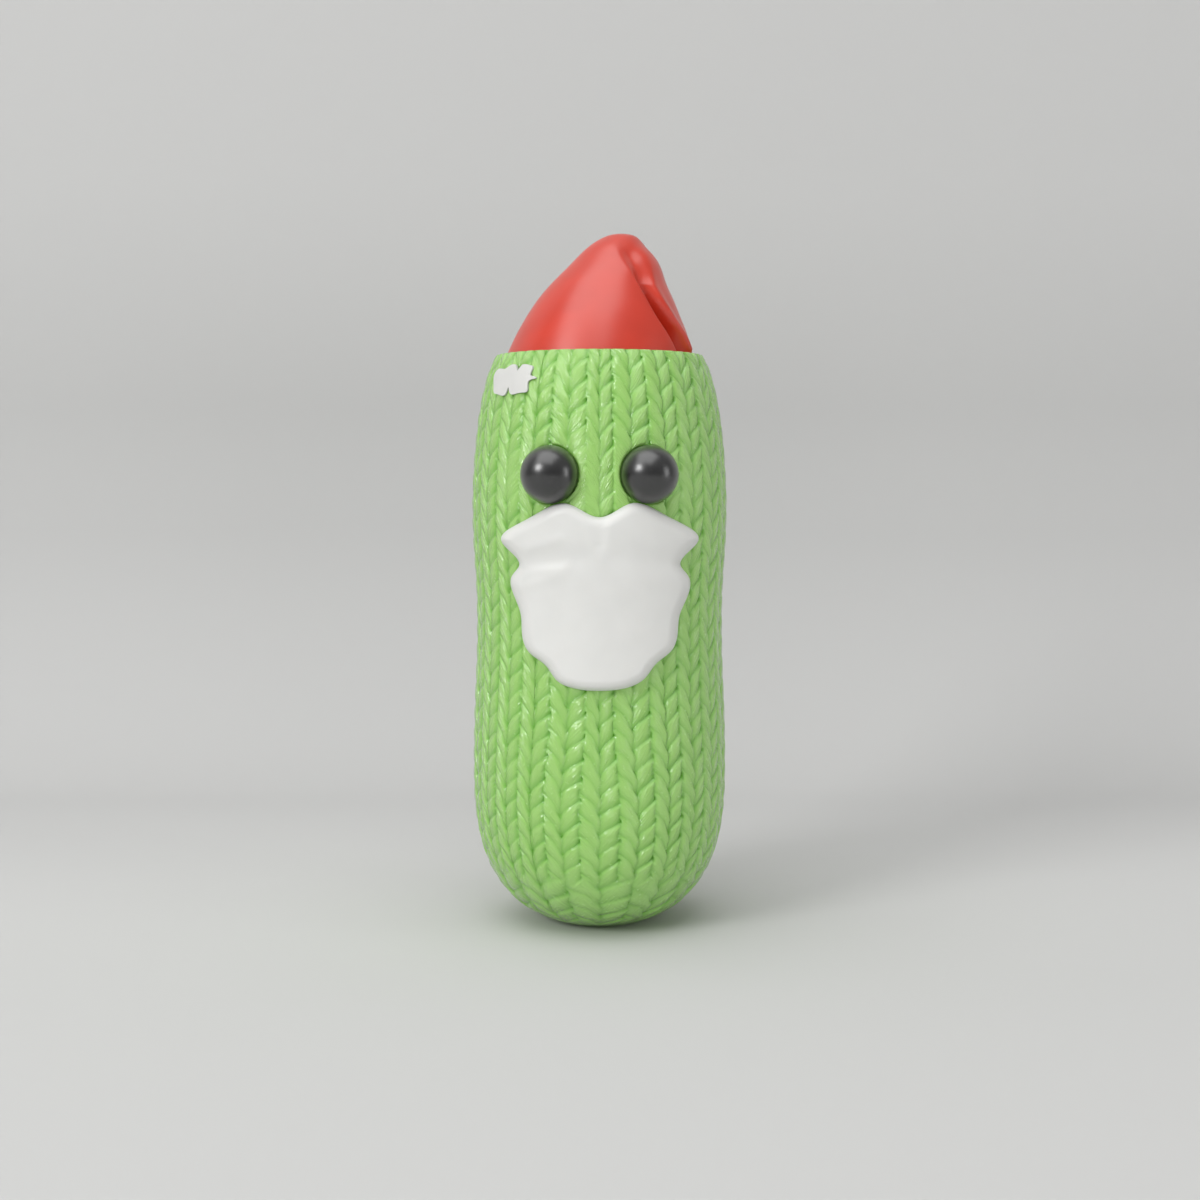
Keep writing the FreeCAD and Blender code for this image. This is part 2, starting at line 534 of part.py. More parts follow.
def eye(side):
    """Ball eye with a flat back and a grooved shank that goes through the front shell."""
    back = -EYE_BACK
    edge = math.sqrt(EYE_RADIUS ** 2 - EYE_BACK ** 2)
    lean = math.radians(45)
    dome = Part.Arc(Vector(edge, 0, back), Vector(EYE_RADIUS * math.cos(lean), 0, EYE_RADIUS * math.sin(lean)),
                    Vector(0, 0, EYE_RADIUS)).toShape()
    shank_end = EYE_SHANK_END_REACH - EYE_CENTRE_REACH
    outline = [(0, EYE_RADIUS), (0, shank_end), (EYE_SHANK_RADIUS, shank_end)]
    for groove in range(SHANK_GROOVES):
        start = shank_end + SHANK_GROOVE_PITCH * (groove + 0.5)
        for height, depth in ((0, 0), (0, SHANK_GROOVE_DEPTH), (SHANK_GROOVE_WIDTH, SHANK_GROOVE_DEPTH),
                              (SHANK_GROOVE_WIDTH, 0)):
            outline.append((EYE_SHANK_RADIUS - depth, start + height))
    outline += [(EYE_SHANK_RADIUS, back), (edge, back)]
    sides = [line(start, end) for start, end in zip(outline, outline[1:])]
    solid = Part.Face(Part.Wire(sides + [dome])).revolve(AXIS_POINT, UP, 360)
    return aimed(solid, EYE_CENTRE_REACH, side * EYE_ANGLE, EYE_HEIGHT)


def aimed(solid, reach, angle, height):
    """A solid made about the Z axis, turned to point out of the body and moved to its place."""
    turn = math.radians(angle)
    outward = Vector(math.sin(turn), -math.cos(turn), 0)
    aim = solid.copy()
    aim.Placement = FreeCAD.Placement(outward * reach + Vector(0, 0, height), FreeCAD.Rotation(UP, outward))
    return aim


def eye_washers():
    """Two push-on lock washers, each on an eye's shank against its pad."""
    washers = []
    outer_reach, inner_reach = EYE_PAD_REACH, EYE_PAD_REACH - WASHER_THICKNESS
    for side in (-1, 1):
        plate = rod(EYE_SHANK_RADIUS + WASHER_WIDTH, inner_reach, outer_reach, side * EYE_ANGLE, EYE_HEIGHT)
        hole = rod(EYE_SHANK_RADIUS, inner_reach, outer_reach, side * EYE_ANGLE, EYE_HEIGHT)
        washers.append(plate.cut(hole))
    return Part.makeCompound(washers)


def beard():
    """Moustache and beard in one moulding that follows the body, with three pegs."""
    curve = Part.BSplineCurve()
    curve.interpolate([Vector(x, -FAR, EYE_HEIGHT + rise) for x, rise in BEARD_OUTLINE], PeriodicFlag=True)
    prism = Part.Face(Part.Wire(curve.toShape())).extrude(Vector(0, FAR, 0))
    slab = body_solid(-BEARD_THICKNESS).cut(body_solid(-BEARD_GAP))
    plate = slab.common(prism).Solids[0]
    front_edges = outer_rim_edges(plate)
    if front_edges:
        plate = plate.makeFillet(min(BEARD_EDGE_ROUND, BEARD_THICKNESS - 4 * BEARD_GAP), front_edges)
    inside_plate = body_solid(-BEARD_THICKNESS / 2)
    for place in PEG_PLACES:
        plate = plate.fuse(peg_rod(PEG_RADIUS, -FAR, PEG_END_Y, place).common(inside_plate))
    return plate.removeSplitter()


def body_radius(height):
    """The body's radius at a height, read off its outline."""
    points = [point for edge in body_profile(0) for point in edge.discretize(PROFILE_POINTS)]
    for below, above in zip(points, points[1:]):
        if below.z <= height <= above.z and above.z > below.z:
            return between(below.x, above.x, (height - below.z) / (above.z - below.z))
    return RIM_RADIUS


def outer_rim_edges(plate):
    """The edges round the beard's front face."""
    rim = []
    for edge in plate.Edges:
        points = edge.discretize(9)
        heights = [point.z for point in points]
        proud = [math.hypot(point.x, point.y) - body_radius(point.z) for point in points]
        if min(proud) > BEARD_THICKNESS / 2 and max(heights) - min(heights) > LEVEL_EDGE:
            rim.append(edge)
    return rim


def beard_washers():
    """Three push-on lock washers on the beard's pegs."""
    washers = []
    for place in PEG_PLACES:
        plate = peg_rod(PEG_RADIUS + WASHER_WIDTH, PEG_PAD_Y, PEG_PAD_Y + WASHER_THICKNESS, place)
        washers.append(plate.cut(peg_rod(PEG_RADIUS, PEG_PAD_Y, PEG_PAD_Y + WASHER_THICKNESS, place)))
    return Part.makeCompound(washers)


def ballast_weight():
    """Steel ring over the boss, standing on the boss's shoulder."""
    top = BALLAST_SEAT_HEIGHT + BALLAST_HEIGHT
    bore = BOSS_RADIUS + HOLE_CLEARANCE
    return turned([
        (bore, BALLAST_SEAT_HEIGHT), (BALLAST_RADIUS - BALLAST_CHAMFER, BALLAST_SEAT_HEIGHT),
        (BALLAST_RADIUS, BALLAST_SEAT_HEIGHT + BALLAST_CHAMFER), (BALLAST_RADIUS, top), (bore, top),
    ])


def ballast_washer():
    """Push-on lock washer that holds the ballast and ties the two halves of the boss."""
    bottom = BALLAST_SEAT_HEIGHT + BALLAST_HEIGHT
    return ring(BOSS_RADIUS + WASHER_WIDTH, BOSS_RADIUS, bottom, bottom + WASHER_THICKNESS)


def side_patch():
    """Thin plain patch on the shoulder, curved with the body."""
    slab = body_solid(-BEARD_GAP - PATCH_THICKNESS).cut(body_solid(-BEARD_GAP))
    corners = [(0, PATCH_BOTTOM), (FAR, PATCH_BOTTOM), (FAR, PATCH_TOP), (0, PATCH_TOP)]
    wire = Part.makePolygon([Vector(radius, 0, height) for radius, height in corners + corners[:1]])
    wedge = Part.Face(wire).revolve(AXIS_POINT, UP, PATCH_ANGLE_TO - PATCH_ANGLE_FROM)
    wedge.rotate(AXIS_POINT, UP, -90 - PATCH_ANGLE_TO)
    return slab.common(wedge)


def main():
    """Build every piece and write one STEP file for each."""
    body = hollow_body()
    pieces = {
        "body_front_shell": body_front_shell(body),
        "body_rear_shell": body_rear_shell(body),
        "mouth_collar": mouth_collar(),
        "hat_trim": hat_trim(),
        "hat_shell": hat_shell(),
        "eye_left": eye(-1),
        "eye_right": eye(1),
        "eye_washers": eye_washers(),
        "beard": beard(),
        "beard_washers": beard_washers(),
        "ballast_weight": ballast_weight(),
        "ballast_washer": ballast_washer(),
        "side_patch": side_patch(),
    }
    os.makedirs("parts", exist_ok=True)
    for name, shape in pieces.items():
        box = shape.BoundBox
        print(f"{name:18s} solids {len(shape.Solids)} valid {shape.isValid()} volume {shape.Volume:9.1f}"
              f"  x {box.XMin:7.2f} {box.XMax:7.2f}  y {box.YMin:7.2f} {box.YMax:7.2f}"
              f"  z {box.ZMin:7.2f} {box.ZMax:7.2f}")
        shape.exportStep(os.path.join("parts", name + ".step"))


main()
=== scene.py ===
"""Dresses the pickle ornament: knit-relief body, beard, ball eyes, folded hat, patch and studio.

Lengths in the classes are in millimetres and angles in degrees, in the frame of the CAD model:
+Z up the body, -Y out of the face, +X to the viewer's right, the origin under the middle of the foot.
"""
import logging
import math
from dataclasses import dataclass
from enum import Enum
from typing import Any, Sequence

import bpy
import numpy as np
from bpy.types import Material, Node, NodeSocket, NodeTree, Object
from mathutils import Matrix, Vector


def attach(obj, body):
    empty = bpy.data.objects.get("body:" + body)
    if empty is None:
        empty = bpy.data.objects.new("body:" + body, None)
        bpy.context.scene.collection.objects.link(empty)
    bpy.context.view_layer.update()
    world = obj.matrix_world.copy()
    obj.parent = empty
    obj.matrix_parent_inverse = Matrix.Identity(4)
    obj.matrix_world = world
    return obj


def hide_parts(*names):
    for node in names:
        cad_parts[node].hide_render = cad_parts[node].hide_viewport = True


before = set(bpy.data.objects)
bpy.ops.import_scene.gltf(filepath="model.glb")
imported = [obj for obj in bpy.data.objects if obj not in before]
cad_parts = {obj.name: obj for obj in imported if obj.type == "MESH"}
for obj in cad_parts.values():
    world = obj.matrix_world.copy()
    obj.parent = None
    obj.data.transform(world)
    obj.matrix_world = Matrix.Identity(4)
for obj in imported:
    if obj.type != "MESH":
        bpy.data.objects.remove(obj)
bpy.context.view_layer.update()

METRES = 0.001
WELD_DIGITS = 5
DENSE_STEPS = 40

Array = np.ndarray
Pair = tuple[float, float]
Row = tuple[float, ...]

log = logging.getLogger("pickle_ornament")


# ---- curves
def ease(share: Array) -> Array:
    """Smooth step: 0 below 0, 1 above 1, and 3s² - 2s³ between."""
    share = np.clip(share, 0.0, 1.0)
    return share * share * (3.0 - 2.0 * share)


def bezier(poles: Sequence[Pair], count: int) -> Array:
    """Points on a cubic Bezier curve: each pole weighted by its Bernstein polynomial.

    Args:
        poles: Four (radius, height) poles.
        count: How many points to work out, ends included.

    Returns:
        An array of (radius, height) rows.
    """
    share = np.linspace(0.0, 1.0, count)[:, None]
    rest = 1.0 - share
    weights = rest ** 3, 3 * share * rest ** 2, 3 * share ** 2 * rest, share ** 3
    return sum(weight * np.array(pole) for weight, pole in zip(weights, poles))


def spline(x: Array, y: Array, at: Array, closed: bool = False) -> Array:
    """Cubic spline: third-degree pieces whose slope and bend agree at the knots.

    Between two knots it is their straight line plus (share³ - share) of each knot's bend.

    Args:
        x: Rising places of the knots.
        y: Values there.
        at: Where to read the spline; places outside the knots read its ends.
        closed: Whether the last knot is the first one again; the ends are unbent otherwise.

    Returns:
        The spline's values, shaped as at.
    """
    gap = np.diff(x)
    slope = np.diff(y) / gap
    size = len(gap)
    row = np.arange(0 if closed else 1, size)
    system, pull = np.eye(size + 1), np.zeros(size + 1)
    system[row, (row - 1) % size], system[row, row + 1] = gap[row - 1], gap[row]
    system[row, row] = 2 * (gap[row - 1] + gap[row])
    system[size, 0] = -1.0 if closed else 0.0
    pull[row] = 6 * (slope[row] - slope[row - 1])
    bend = np.linalg.solve(system, pull)
    at = np.clip(at, x[0], x[-1])
    piece = np.clip(np.searchsorted(x, at) - 1, 0, size - 1)
    width = gap[piece]
    left, right = (x[piece + 1] - at) / width, (at - x[piece]) / width
    curved = ((left ** 3 - left) * bend[piece] + (right ** 3 - right) * bend[piece + 1]) * width ** 2 / 6
    return left * y[piece] + right * y[piece + 1] + curved


def travelled(points: Array) -> Array:
    """Length along a line of points, from its start to each of them."""
    return np.concatenate([[0.0], np.cumsum(np.hypot(*np.diff(points, axis=0).T))])


def closed_through(points: Sequence[Pair], count: int) -> Array:
    """Closed cubic spline through points, spaced by their chords, read at even steps of length.

    Args:
        points: Corner points of the closed curve, first one not repeated.
        count: How many points to return.

    Returns:
        An array of count rows (across, up).
    """
    corners = np.array([*points, points[0]], float)
    place = travelled(corners)
    dense = np.linspace(0.0, place[-1], DENSE_STEPS * len(points))
    curve = np.stack([spline(place, side, dense, closed=True) for side in corners.T], axis=1)
    length = travelled(curve)
    even = np.linspace(0.0, length[-1], count, endpoint=False)
    return np.stack([np.interp(even, length, side) for side in curve.T], axis=1)


def around(radius: Array, turn: Array, height: Array) -> Array:
    """Points at (radius sin turn, -radius cos turn, height), turned in radians from the front rightwards."""
    return np.stack(np.broadcast_arrays(radius * np.sin(turn), -radius * np.cos(turn), height), axis=-1)


def bumps_along(x: Array, z: Array, strokes: Sequence[Row]) -> Array:
    """Sum of soft strokes: each is its height times exp(-(distance to its segment / width)²).

    Args:
        x: Places across, seen from the front.
        z: Heights.
        strokes: (x0, z0, x1, z1, width, height) of each stroke; a negative height makes a crease.

    Returns:
        The summed height at each place.
    """
    total = np.zeros_like(x)
    for x0, z0, x1, z1, width, height in strokes:
        run, climb = x1 - x0, z1 - z0
        share = np.clip(((x - x0) * run + (z - z0) * climb) / (run * run + climb * climb), 0.0, 1.0)
        away = np.hypot(x - x0 - share * run, z - z0 - share * climb)
        total += height * np.exp(-(away / width) ** 2)
    return total


# ---- meshes
def grid_quads(rows: int, columns: int, closed: bool = False) -> Array:
    """Quads of a grid of points numbered row by row: a point, its right neighbour, and the two above.

    Args:
        rows: Number of rows.
        columns: Number of points in a row.
        closed: Whether the last column joins the first.

    Returns:
        An array of four point numbers per quad.
    """
    column = np.arange(columns if closed else columns - 1)
    base = np.arange(rows - 1)[:, None] * columns
    left, right = base + column, base + (column + 1) % columns
    return np.stack([left, right, right + columns, left + columns], axis=-1).reshape(-1, 4)


def welded(points: Array, faces: Sequence[Array]) -> tuple[Array, Array, list[list[int]], Array]:
    """Merge points that coincide, and drop the repeated corners that this leaves in faces.

    Args:
        points: Positions, one row each.
        faces: Arrays of point numbers, one array for each number of corners.

    Returns:
        The merged points, the old number of each kept point, the faces, and the old point of each corner.
    """
    _, kept, merged = np.unique(np.round(points, WELD_DIGITS), axis=0, return_index=True, return_inverse=True)
    merged = merged.reshape(-1)
    polygons: list[list[int]] = []
    corners = []
    for face in faces:
        new = merged[face]
        own = new != np.roll(new, 1, axis=1)
        for size in (face.shape[1], face.shape[1] - 1):
            alike = own.sum(axis=1) == size
            polygons += new[alike][own[alike]].reshape(-1, size).tolist()
            corners.append(face[alike][own[alike]])
    return points[kept], kept, polygons, np.concatenate(corners)


def make_piece(name: str, points: Array, faces: Sequence[Array], crease: float = 60.0,
               uv: Array | None = None, marks: dict[str, Array] | None = None) -> Object:
    """A smooth-shaded mesh object from points in millimetres.

    Args:
        name: Name of the piece.
        points: Positions in millimetres, one row each.
        faces: Arrays of point numbers, one array for each number of corners.
        crease: Edges that turn by more degrees than this stay sharp.
        uv: Pattern coordinates of each point.
        marks: Named values of each point, for the materials.

    Returns:
        The object, linked to the scene at the origin.
    """
    kept_points, kept, polygons, corners = welded(points, faces)
    mesh = bpy.data.meshes.new(name)
    mesh.from_pydata((kept_points * METRES).tolist(), [], polygons)
    if uv is not None:
        mesh.uv_layers.new(name="surface").data.foreach_set("uv", uv[corners].astype(np.float32).ravel())
    for mark, values in (marks or {}).items():
        mesh.attributes.new(mark, "FLOAT", "POINT").data.foreach_set("value", values[kept].astype(np.float32))
    mesh.shade_smooth()
    mesh.set_sharp_from_angle(angle=math.radians(crease))
    piece = bpy.data.objects.new(name, mesh)
    bpy.context.scene.collection.objects.link(piece)
    return piece


def revolved(profile: Sequence[Pair], sides: int, centre: Sequence[float],
             outward: Sequence[float]) -> tuple[Array, Array]:
    """Points and quads of a profile turned about a line: radius round it, height along it.

    Args:
        profile: (radius, height) corners from one pole to the other, heights rising first on the outside.
        sides: Number of columns round.
        centre: Where height 0 lies.
        outward: Direction of rising height, of length 1, square to the Z axis.

    Returns:
        The points and the quads.
    """
    radius, height = np.array(profile, float).T
    turn = np.linspace(0.0, 2 * np.pi, sides, endpoint=False)
    along = np.array(outward, float)
    side = np.cross(along, [0.0, 0.0, 1.0])
    other = np.cross(along, side)
    round_it = np.cos(turn)[:, None] * side + np.sin(turn)[:, None] * other
    points = np.array(centre) + height[:, None, None] * along + radius[:, None, None] * round_it
    return points.reshape(-1, 3), grid_quads(len(radius), sides, closed=True)


def assign(node: Object, material: Material) -> None:
    """Put one material on an object in place of any it has."""
    node.data.materials.clear()
    node.data.materials.append(material)


def dress(piece: Object, finish: Material, node: str, body: str) -> Object:
    """Give a piece its finish and its place in the assembly.

    Args:
        piece: The new piece.
        finish: Its material.
        node: The CAD node that it shows.
        body: The body that it moves with.

    Returns:
        The piece.
    """
    assign(piece, finish)
    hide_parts(node)
    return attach(piece, body)


# ---- materials
def linear(colour: str) -> Row:
    """Linear colour of an sRGB hex value such as "#80c050", by the sRGB curve.

    Args:
        colour: The hex value.

    Returns:
        Red, green, blue and an alpha of 1.
    """
    channels = [int(colour[start:start + 2], 16) / 255 for start in (1, 3, 5)]
    red, green, blue = (c / 12.92 if c <= 0.04045 else ((c + 0.055) / 1.055) ** 2.4 for c in channels)
    return red, green, blue, 1.0


def per_metre(size: float) -> float:
    """Texture scale on coordinates in metres for a feature of a size in millimetres."""
    return 1000.0 / size


def add_node(tree: NodeTree, kind: str, settings: dict[Any, Any] | None = None,
             links: dict[Any, NodeSocket] | None = None) -> Node:
    """Add a shader node with its settings and its links.

    Args:
        tree: The node tree of a material or a world.
        kind: The node's type, without its first part.
        settings: Properties by name, inputs by name or number, and "stops" of a colour ramp.
        links: Sockets to join to inputs, by name or number.

    Returns:
        The new node.
    """
    node = tree.nodes.new("ShaderNode" + kind)
    for name, value in (settings or {}).items():
        if name == "stops":
            elements = node.color_ramp.elements
            while len(elements) < len(value):
                elements.new(1.0)
            for element, (place, shade) in zip(elements, value):
                element.position, element.color = place, shade
        elif isinstance(name, str) and hasattr(node, name):
            setattr(node, name, value)
        else:
            node.inputs[name].default_value = value
    for name, socket in (links or {}).items():
        tree.links.new(socket, node.inputs[name])
    return node


class Recipe:
    """A material's nodes, from its textures to its shader."""

    def __init__(self, name: str) -> None:
        """Start an empty material that reads the piece's own place, in metres.

        Args:
            name: Name of the material.
        """
        self.material = bpy.data.materials.new(name)
        self.material.use_nodes = True
        self.tree = self.material.node_tree
        self.tree.nodes.clear()
        self.place = self.add("TexCoord").outputs["Object"]

    def add(self, kind: str, *inputs: dict[Any, Any]) -> Node:
        """Add a node; its settings and its links follow."""
        return add_node(self.tree, kind, *inputs)

    def noise(self, size: float, detail: float) -> NodeSocket:
        """Noise with features of a size in millimetres."""
        settings = {"Scale": per_metre(size), "Detail": detail}
        return self.add("TexNoise", settings, {"Vector": self.place}).outputs["Fac"]

    def streaks(self, length: float, width: float, detail: float, roughness: float = 0.5) -> NodeSocket:
        """Noise stretched along the stitches, on the map "surface" whose unit is a millimetre.

        Args:
            length: Length of a streak in millimetres.
            width: Its width.
            detail: Octaves of finer noise.
            roughness: Share that each octave adds.

        Returns:
            The noise, from 0 to 1.
        """
        place = self.add("UVMap", {"uv_map": "surface"})
        along = self.add("Mapping", {"Scale": (1 / length, 1 / width, 1.0)}, {"Vector": place.outputs["UV"]})
        return self.add("TexNoise", {"Scale": 1.0, "Detail": detail, "Roughness": roughness},
                        {"Vector": along.outputs["Vector"]}).outputs["Fac"]

    def mark(self, name: str) -> NodeSocket:
        """Values that the mesh holds at its points."""
        return self.add("Attribute", {"attribute_name": name}).outputs["Fac"]

    def math(self, operation: str, settings: dict[Any, Any], links: dict[int, NodeSocket]) -> NodeSocket:
        """One sum on values: numbers in the settings, sockets in the links."""
        return self.add("Math", {"operation": operation} | settings, links).outputs["Value"]

    def bump(self, height: NodeSocket, distance: float, strength: float | NodeSocket,
             over: NodeSocket | None = None) -> NodeSocket:
        """Tilt the surface as a relief would.

        Args:
            height: The relief, from 0 to 1.
            distance: Its depth in metres.
            strength: Share of it that shows.
            over: The normal that it tilts, if not the mesh's own.

        Returns:
            The tilted normal.
        """
        settings, links = {"Distance": distance}, {"Height": height}
        (settings if isinstance(strength, float) else links)["Strength"] = strength
        if over is not None:
            links["Normal"] = over
        return self.add("Bump", settings, links).outputs["Normal"]

    def spread(self, value: NodeSocket, low: float, high: float, source: Pair = (0.3, 0.7)) -> NodeSocket:
        """Stretch a noise's usual range to the range from low to high."""
        settings = {"From Min": source[0], "From Max": source[1], "To Min": low, "To Max": high}
        return self.add("MapRange", settings, {"Value": value}).outputs["Result"]

    def tones(self, value: NodeSocket, *stops: tuple[float, str]) -> NodeSocket:
        """Hex colours by a value, blended straight between the stops."""
        return self.add("ValToRGB", {"stops": [(place, linear(colour)) for place, colour in stops]},
                        {"Fac": value}).outputs["Color"]

    def close(self, settings: dict[str, Any], links: dict[str, NodeSocket]) -> Material:
        """Join all to a Principled shader.

        Args:
            settings: The shader's plain values.
            links: What its other inputs read.

        Returns:
            The finished material.
        """
        shader = self.add("BsdfPrincipled", settings, links)
        self.add("OutputMaterial", {}, {"Surface": shader.outputs["BSDF"]})
        return self.material


@dataclass(frozen=True)
class KnitVinyl:
    """Green PVC cast in a mould taken from knitting: glossy, with the yarn's fibres along each stitch."""

    # crown is the knit's own green; crease is the painted shade that the creases get
    crown: str = "#9fd16e"
    crease: str = "#52a512"
    roughness: float = 0.18
    # widths and lengths in millimetres, depths in metres
    fibre_width: float = 0.30
    fibre_length: float = 1.0
    fibre_depth: float = 0.0003
    dimple_width: float = 0.65
    dimple_length: float = 1.2
    dimple_depth: float = 0.00042
    grain: float = 0.55
    grain_depth: float = 0.00008
    cloud: float = 9.0

    def build(self) -> Material:
        """Fibres and dimples run along the stitches; the colour darkens with the depth of the relief as
        painted shade in the creases.

        Returns:
            The material.
        """
        recipe = Recipe("green_pvc_cast_as_knit")
        outside = recipe.mark("outside")
        # fibres: noise stretched along the stitch gives the green its fine streaks
        strength = recipe.math("MULTIPLY", {1: 0.8}, {0: outside})
        fibres = recipe.streaks(self.fibre_length, self.fibre_width, 3.0, 0.55)
        bump = recipe.bump(fibres, self.fibre_depth, strength)
        # grain of the casting, about half a millimetre: breaks up the gloss
        grain = recipe.noise(self.grain, 2.0)
        bump = recipe.bump(grain, self.grain_depth, 0.35, bump)
        rough = recipe.spread(grain, self.roughness - 0.06, self.roughness + 0.10)
        # the gloss skin pools in small dimples, well under a millimetre wide: short white glints
        dimples = recipe.streaks(self.dimple_length, self.dimple_width, 1.0)
        skin = recipe.bump(dimples, self.dimple_depth, outside)
        # painted shade: the colour sinks to a deeper green in the creases, with a faint cloudiness from the
        # pigment
        shade = recipe.math("MULTIPLY_ADD", {1: 0.10, 2: -0.05}, {0: recipe.noise(self.cloud, 2.0)})
        level = recipe.math("ADD", {"use_clamp": True}, {0: recipe.mark("depth"), 1: shade})
        colour = recipe.tones(level, (0.0, self.crown), (1.0, self.crease))
        return recipe.close({"IOR": 1.5, "Coat Weight": 1.0, "Coat Roughness": 0.10},
                            {"Base Color": colour, "Roughness": rough, "Normal": bump, "Coat Normal": skin})


@dataclass(frozen=True)
class SatinVinyl:
    """Smooth-moulded PVC with a satin skin: broad soft highlights over faint waves of the casting."""

    name: str
    colour: str
    shade: str
    roughness: float = 0.42
    # wave in millimetres, depths in metres
    wave: float = 4.0
    wave_depth: float = 0.00006
    skin: float = 0.25
    skin_depth: float = 0.00001
    scatter: float = 0.0
    mottle: float = 0.03
    gloss: float = 0.5
    lacquer: float = 0.0
    lacquer_roughness: float = 0.28

    def build(self) -> Material:
        """Waves a few millimetres long and a fine skin, both on the piece's own place.

        Returns:
            The material.
        """
        recipe = Recipe(self.name)
        waves, skin = recipe.noise(self.wave, 1.5), recipe.noise(self.skin, 2.0)
        bump = recipe.bump(skin, self.skin_depth, 0.4, recipe.bump(waves, self.wave_depth, 0.5))
        # the pigment is a little uneven over the waves
        colour = recipe.tones(waves, (0.30, self.shade), (0.65, self.colour))
        rough = recipe.spread(skin, self.roughness - self.mottle, self.roughness + self.mottle)
        return recipe.close({"IOR": 1.5, "Subsurface Weight": self.scatter, "Subsurface Scale": 1.0,
                             "Subsurface Radius": (0.0008, 0.0007, 0.0006), "Specular IOR Level": self.gloss,
                             "Coat Weight": self.lacquer, "Coat Roughness": self.lacquer_roughness},
                            {"Base Color": colour, "Roughness": rough, "Normal": bump})


@dataclass(frozen=True)
class BrushedSteel:
    """Bare steel, stamped or turned: rings of fine tool marks about the ornament's axis."""

    name: str
    colour: str
    ring: float = 0.35
    stain: float = 5.0
    roughness: float = 0.34

    def build(self) -> Material:
        """Rings by the distance from the axis, and stains a few millimetres wide.

        Returns:
            The material.
        """
        recipe = Recipe(self.name)
        # the wave texture turns 20 radians in a unit, and the ring's size is that of a radian
        settings = {"wave_type": "RINGS", "rings_direction": "Z", "Scale": per_metre(self.ring) / 20,
                    "Distortion": 1.5, "Detail": 2.0, "Detail Scale": 3.0}
        rings = recipe.add("TexWave", settings, {"Vector": recipe.place})
        stain = recipe.noise(self.stain, 3.0)
        rough = recipe.spread(stain, self.roughness - 0.08, self.roughness + 0.12, (0.0, 1.0))
        return recipe.close({"Base Color": linear(self.colour), "Metallic": 1.0},
                            {"Roughness": rough, "Normal": recipe.bump(rings.outputs["Fac"], 0.00002, 0.4)})


@dataclass(frozen=True)
class SweepPaper:
    """Seamless background paper: matt and plain, with painted light falloff: palest as the floor, darker at
    the foot of the wall.
    """

    # painted light falloff: a lighter floor, painted shade at the foot of the wall, then the wall's tone
    floor: str = "#cacac9"
    bend: str = "#c0c0bf"
    foot_of_wall: str = "#b6b6b5"
    wall: str = "#c1c1c0"
    unevenness: float = 1000.0 / 3.0

    def build(self) -> Material:
        """The tone changes with the way back and up the sweep, in metres, as painted light falloff, with a
        very faint unevenness.

        Returns:
            The material.
        """
        recipe = Recipe("seamless_studio_paper")
        parts = recipe.add("SeparateXYZ", {}, {0: recipe.place})
        way = recipe.math("ADD", {}, {0: parts.outputs["Y"], 1: parts.outputs["Z"]})
        way = recipe.math("MULTIPLY_ADD", {1: 0.02}, {0: recipe.noise(self.unevenness, 1.0), 2: way})
        # painted light falloff from the floor to the wall, with painted shade at the wall's foot
        tone = recipe.tones(way, (0.03, self.floor), (0.11, self.bend), (0.245, self.foot_of_wall),
                            (0.345, self.wall))
        return recipe.close({"Roughness": 0.9, "Specular IOR Level": 0.2}, {"Base Color": tone})


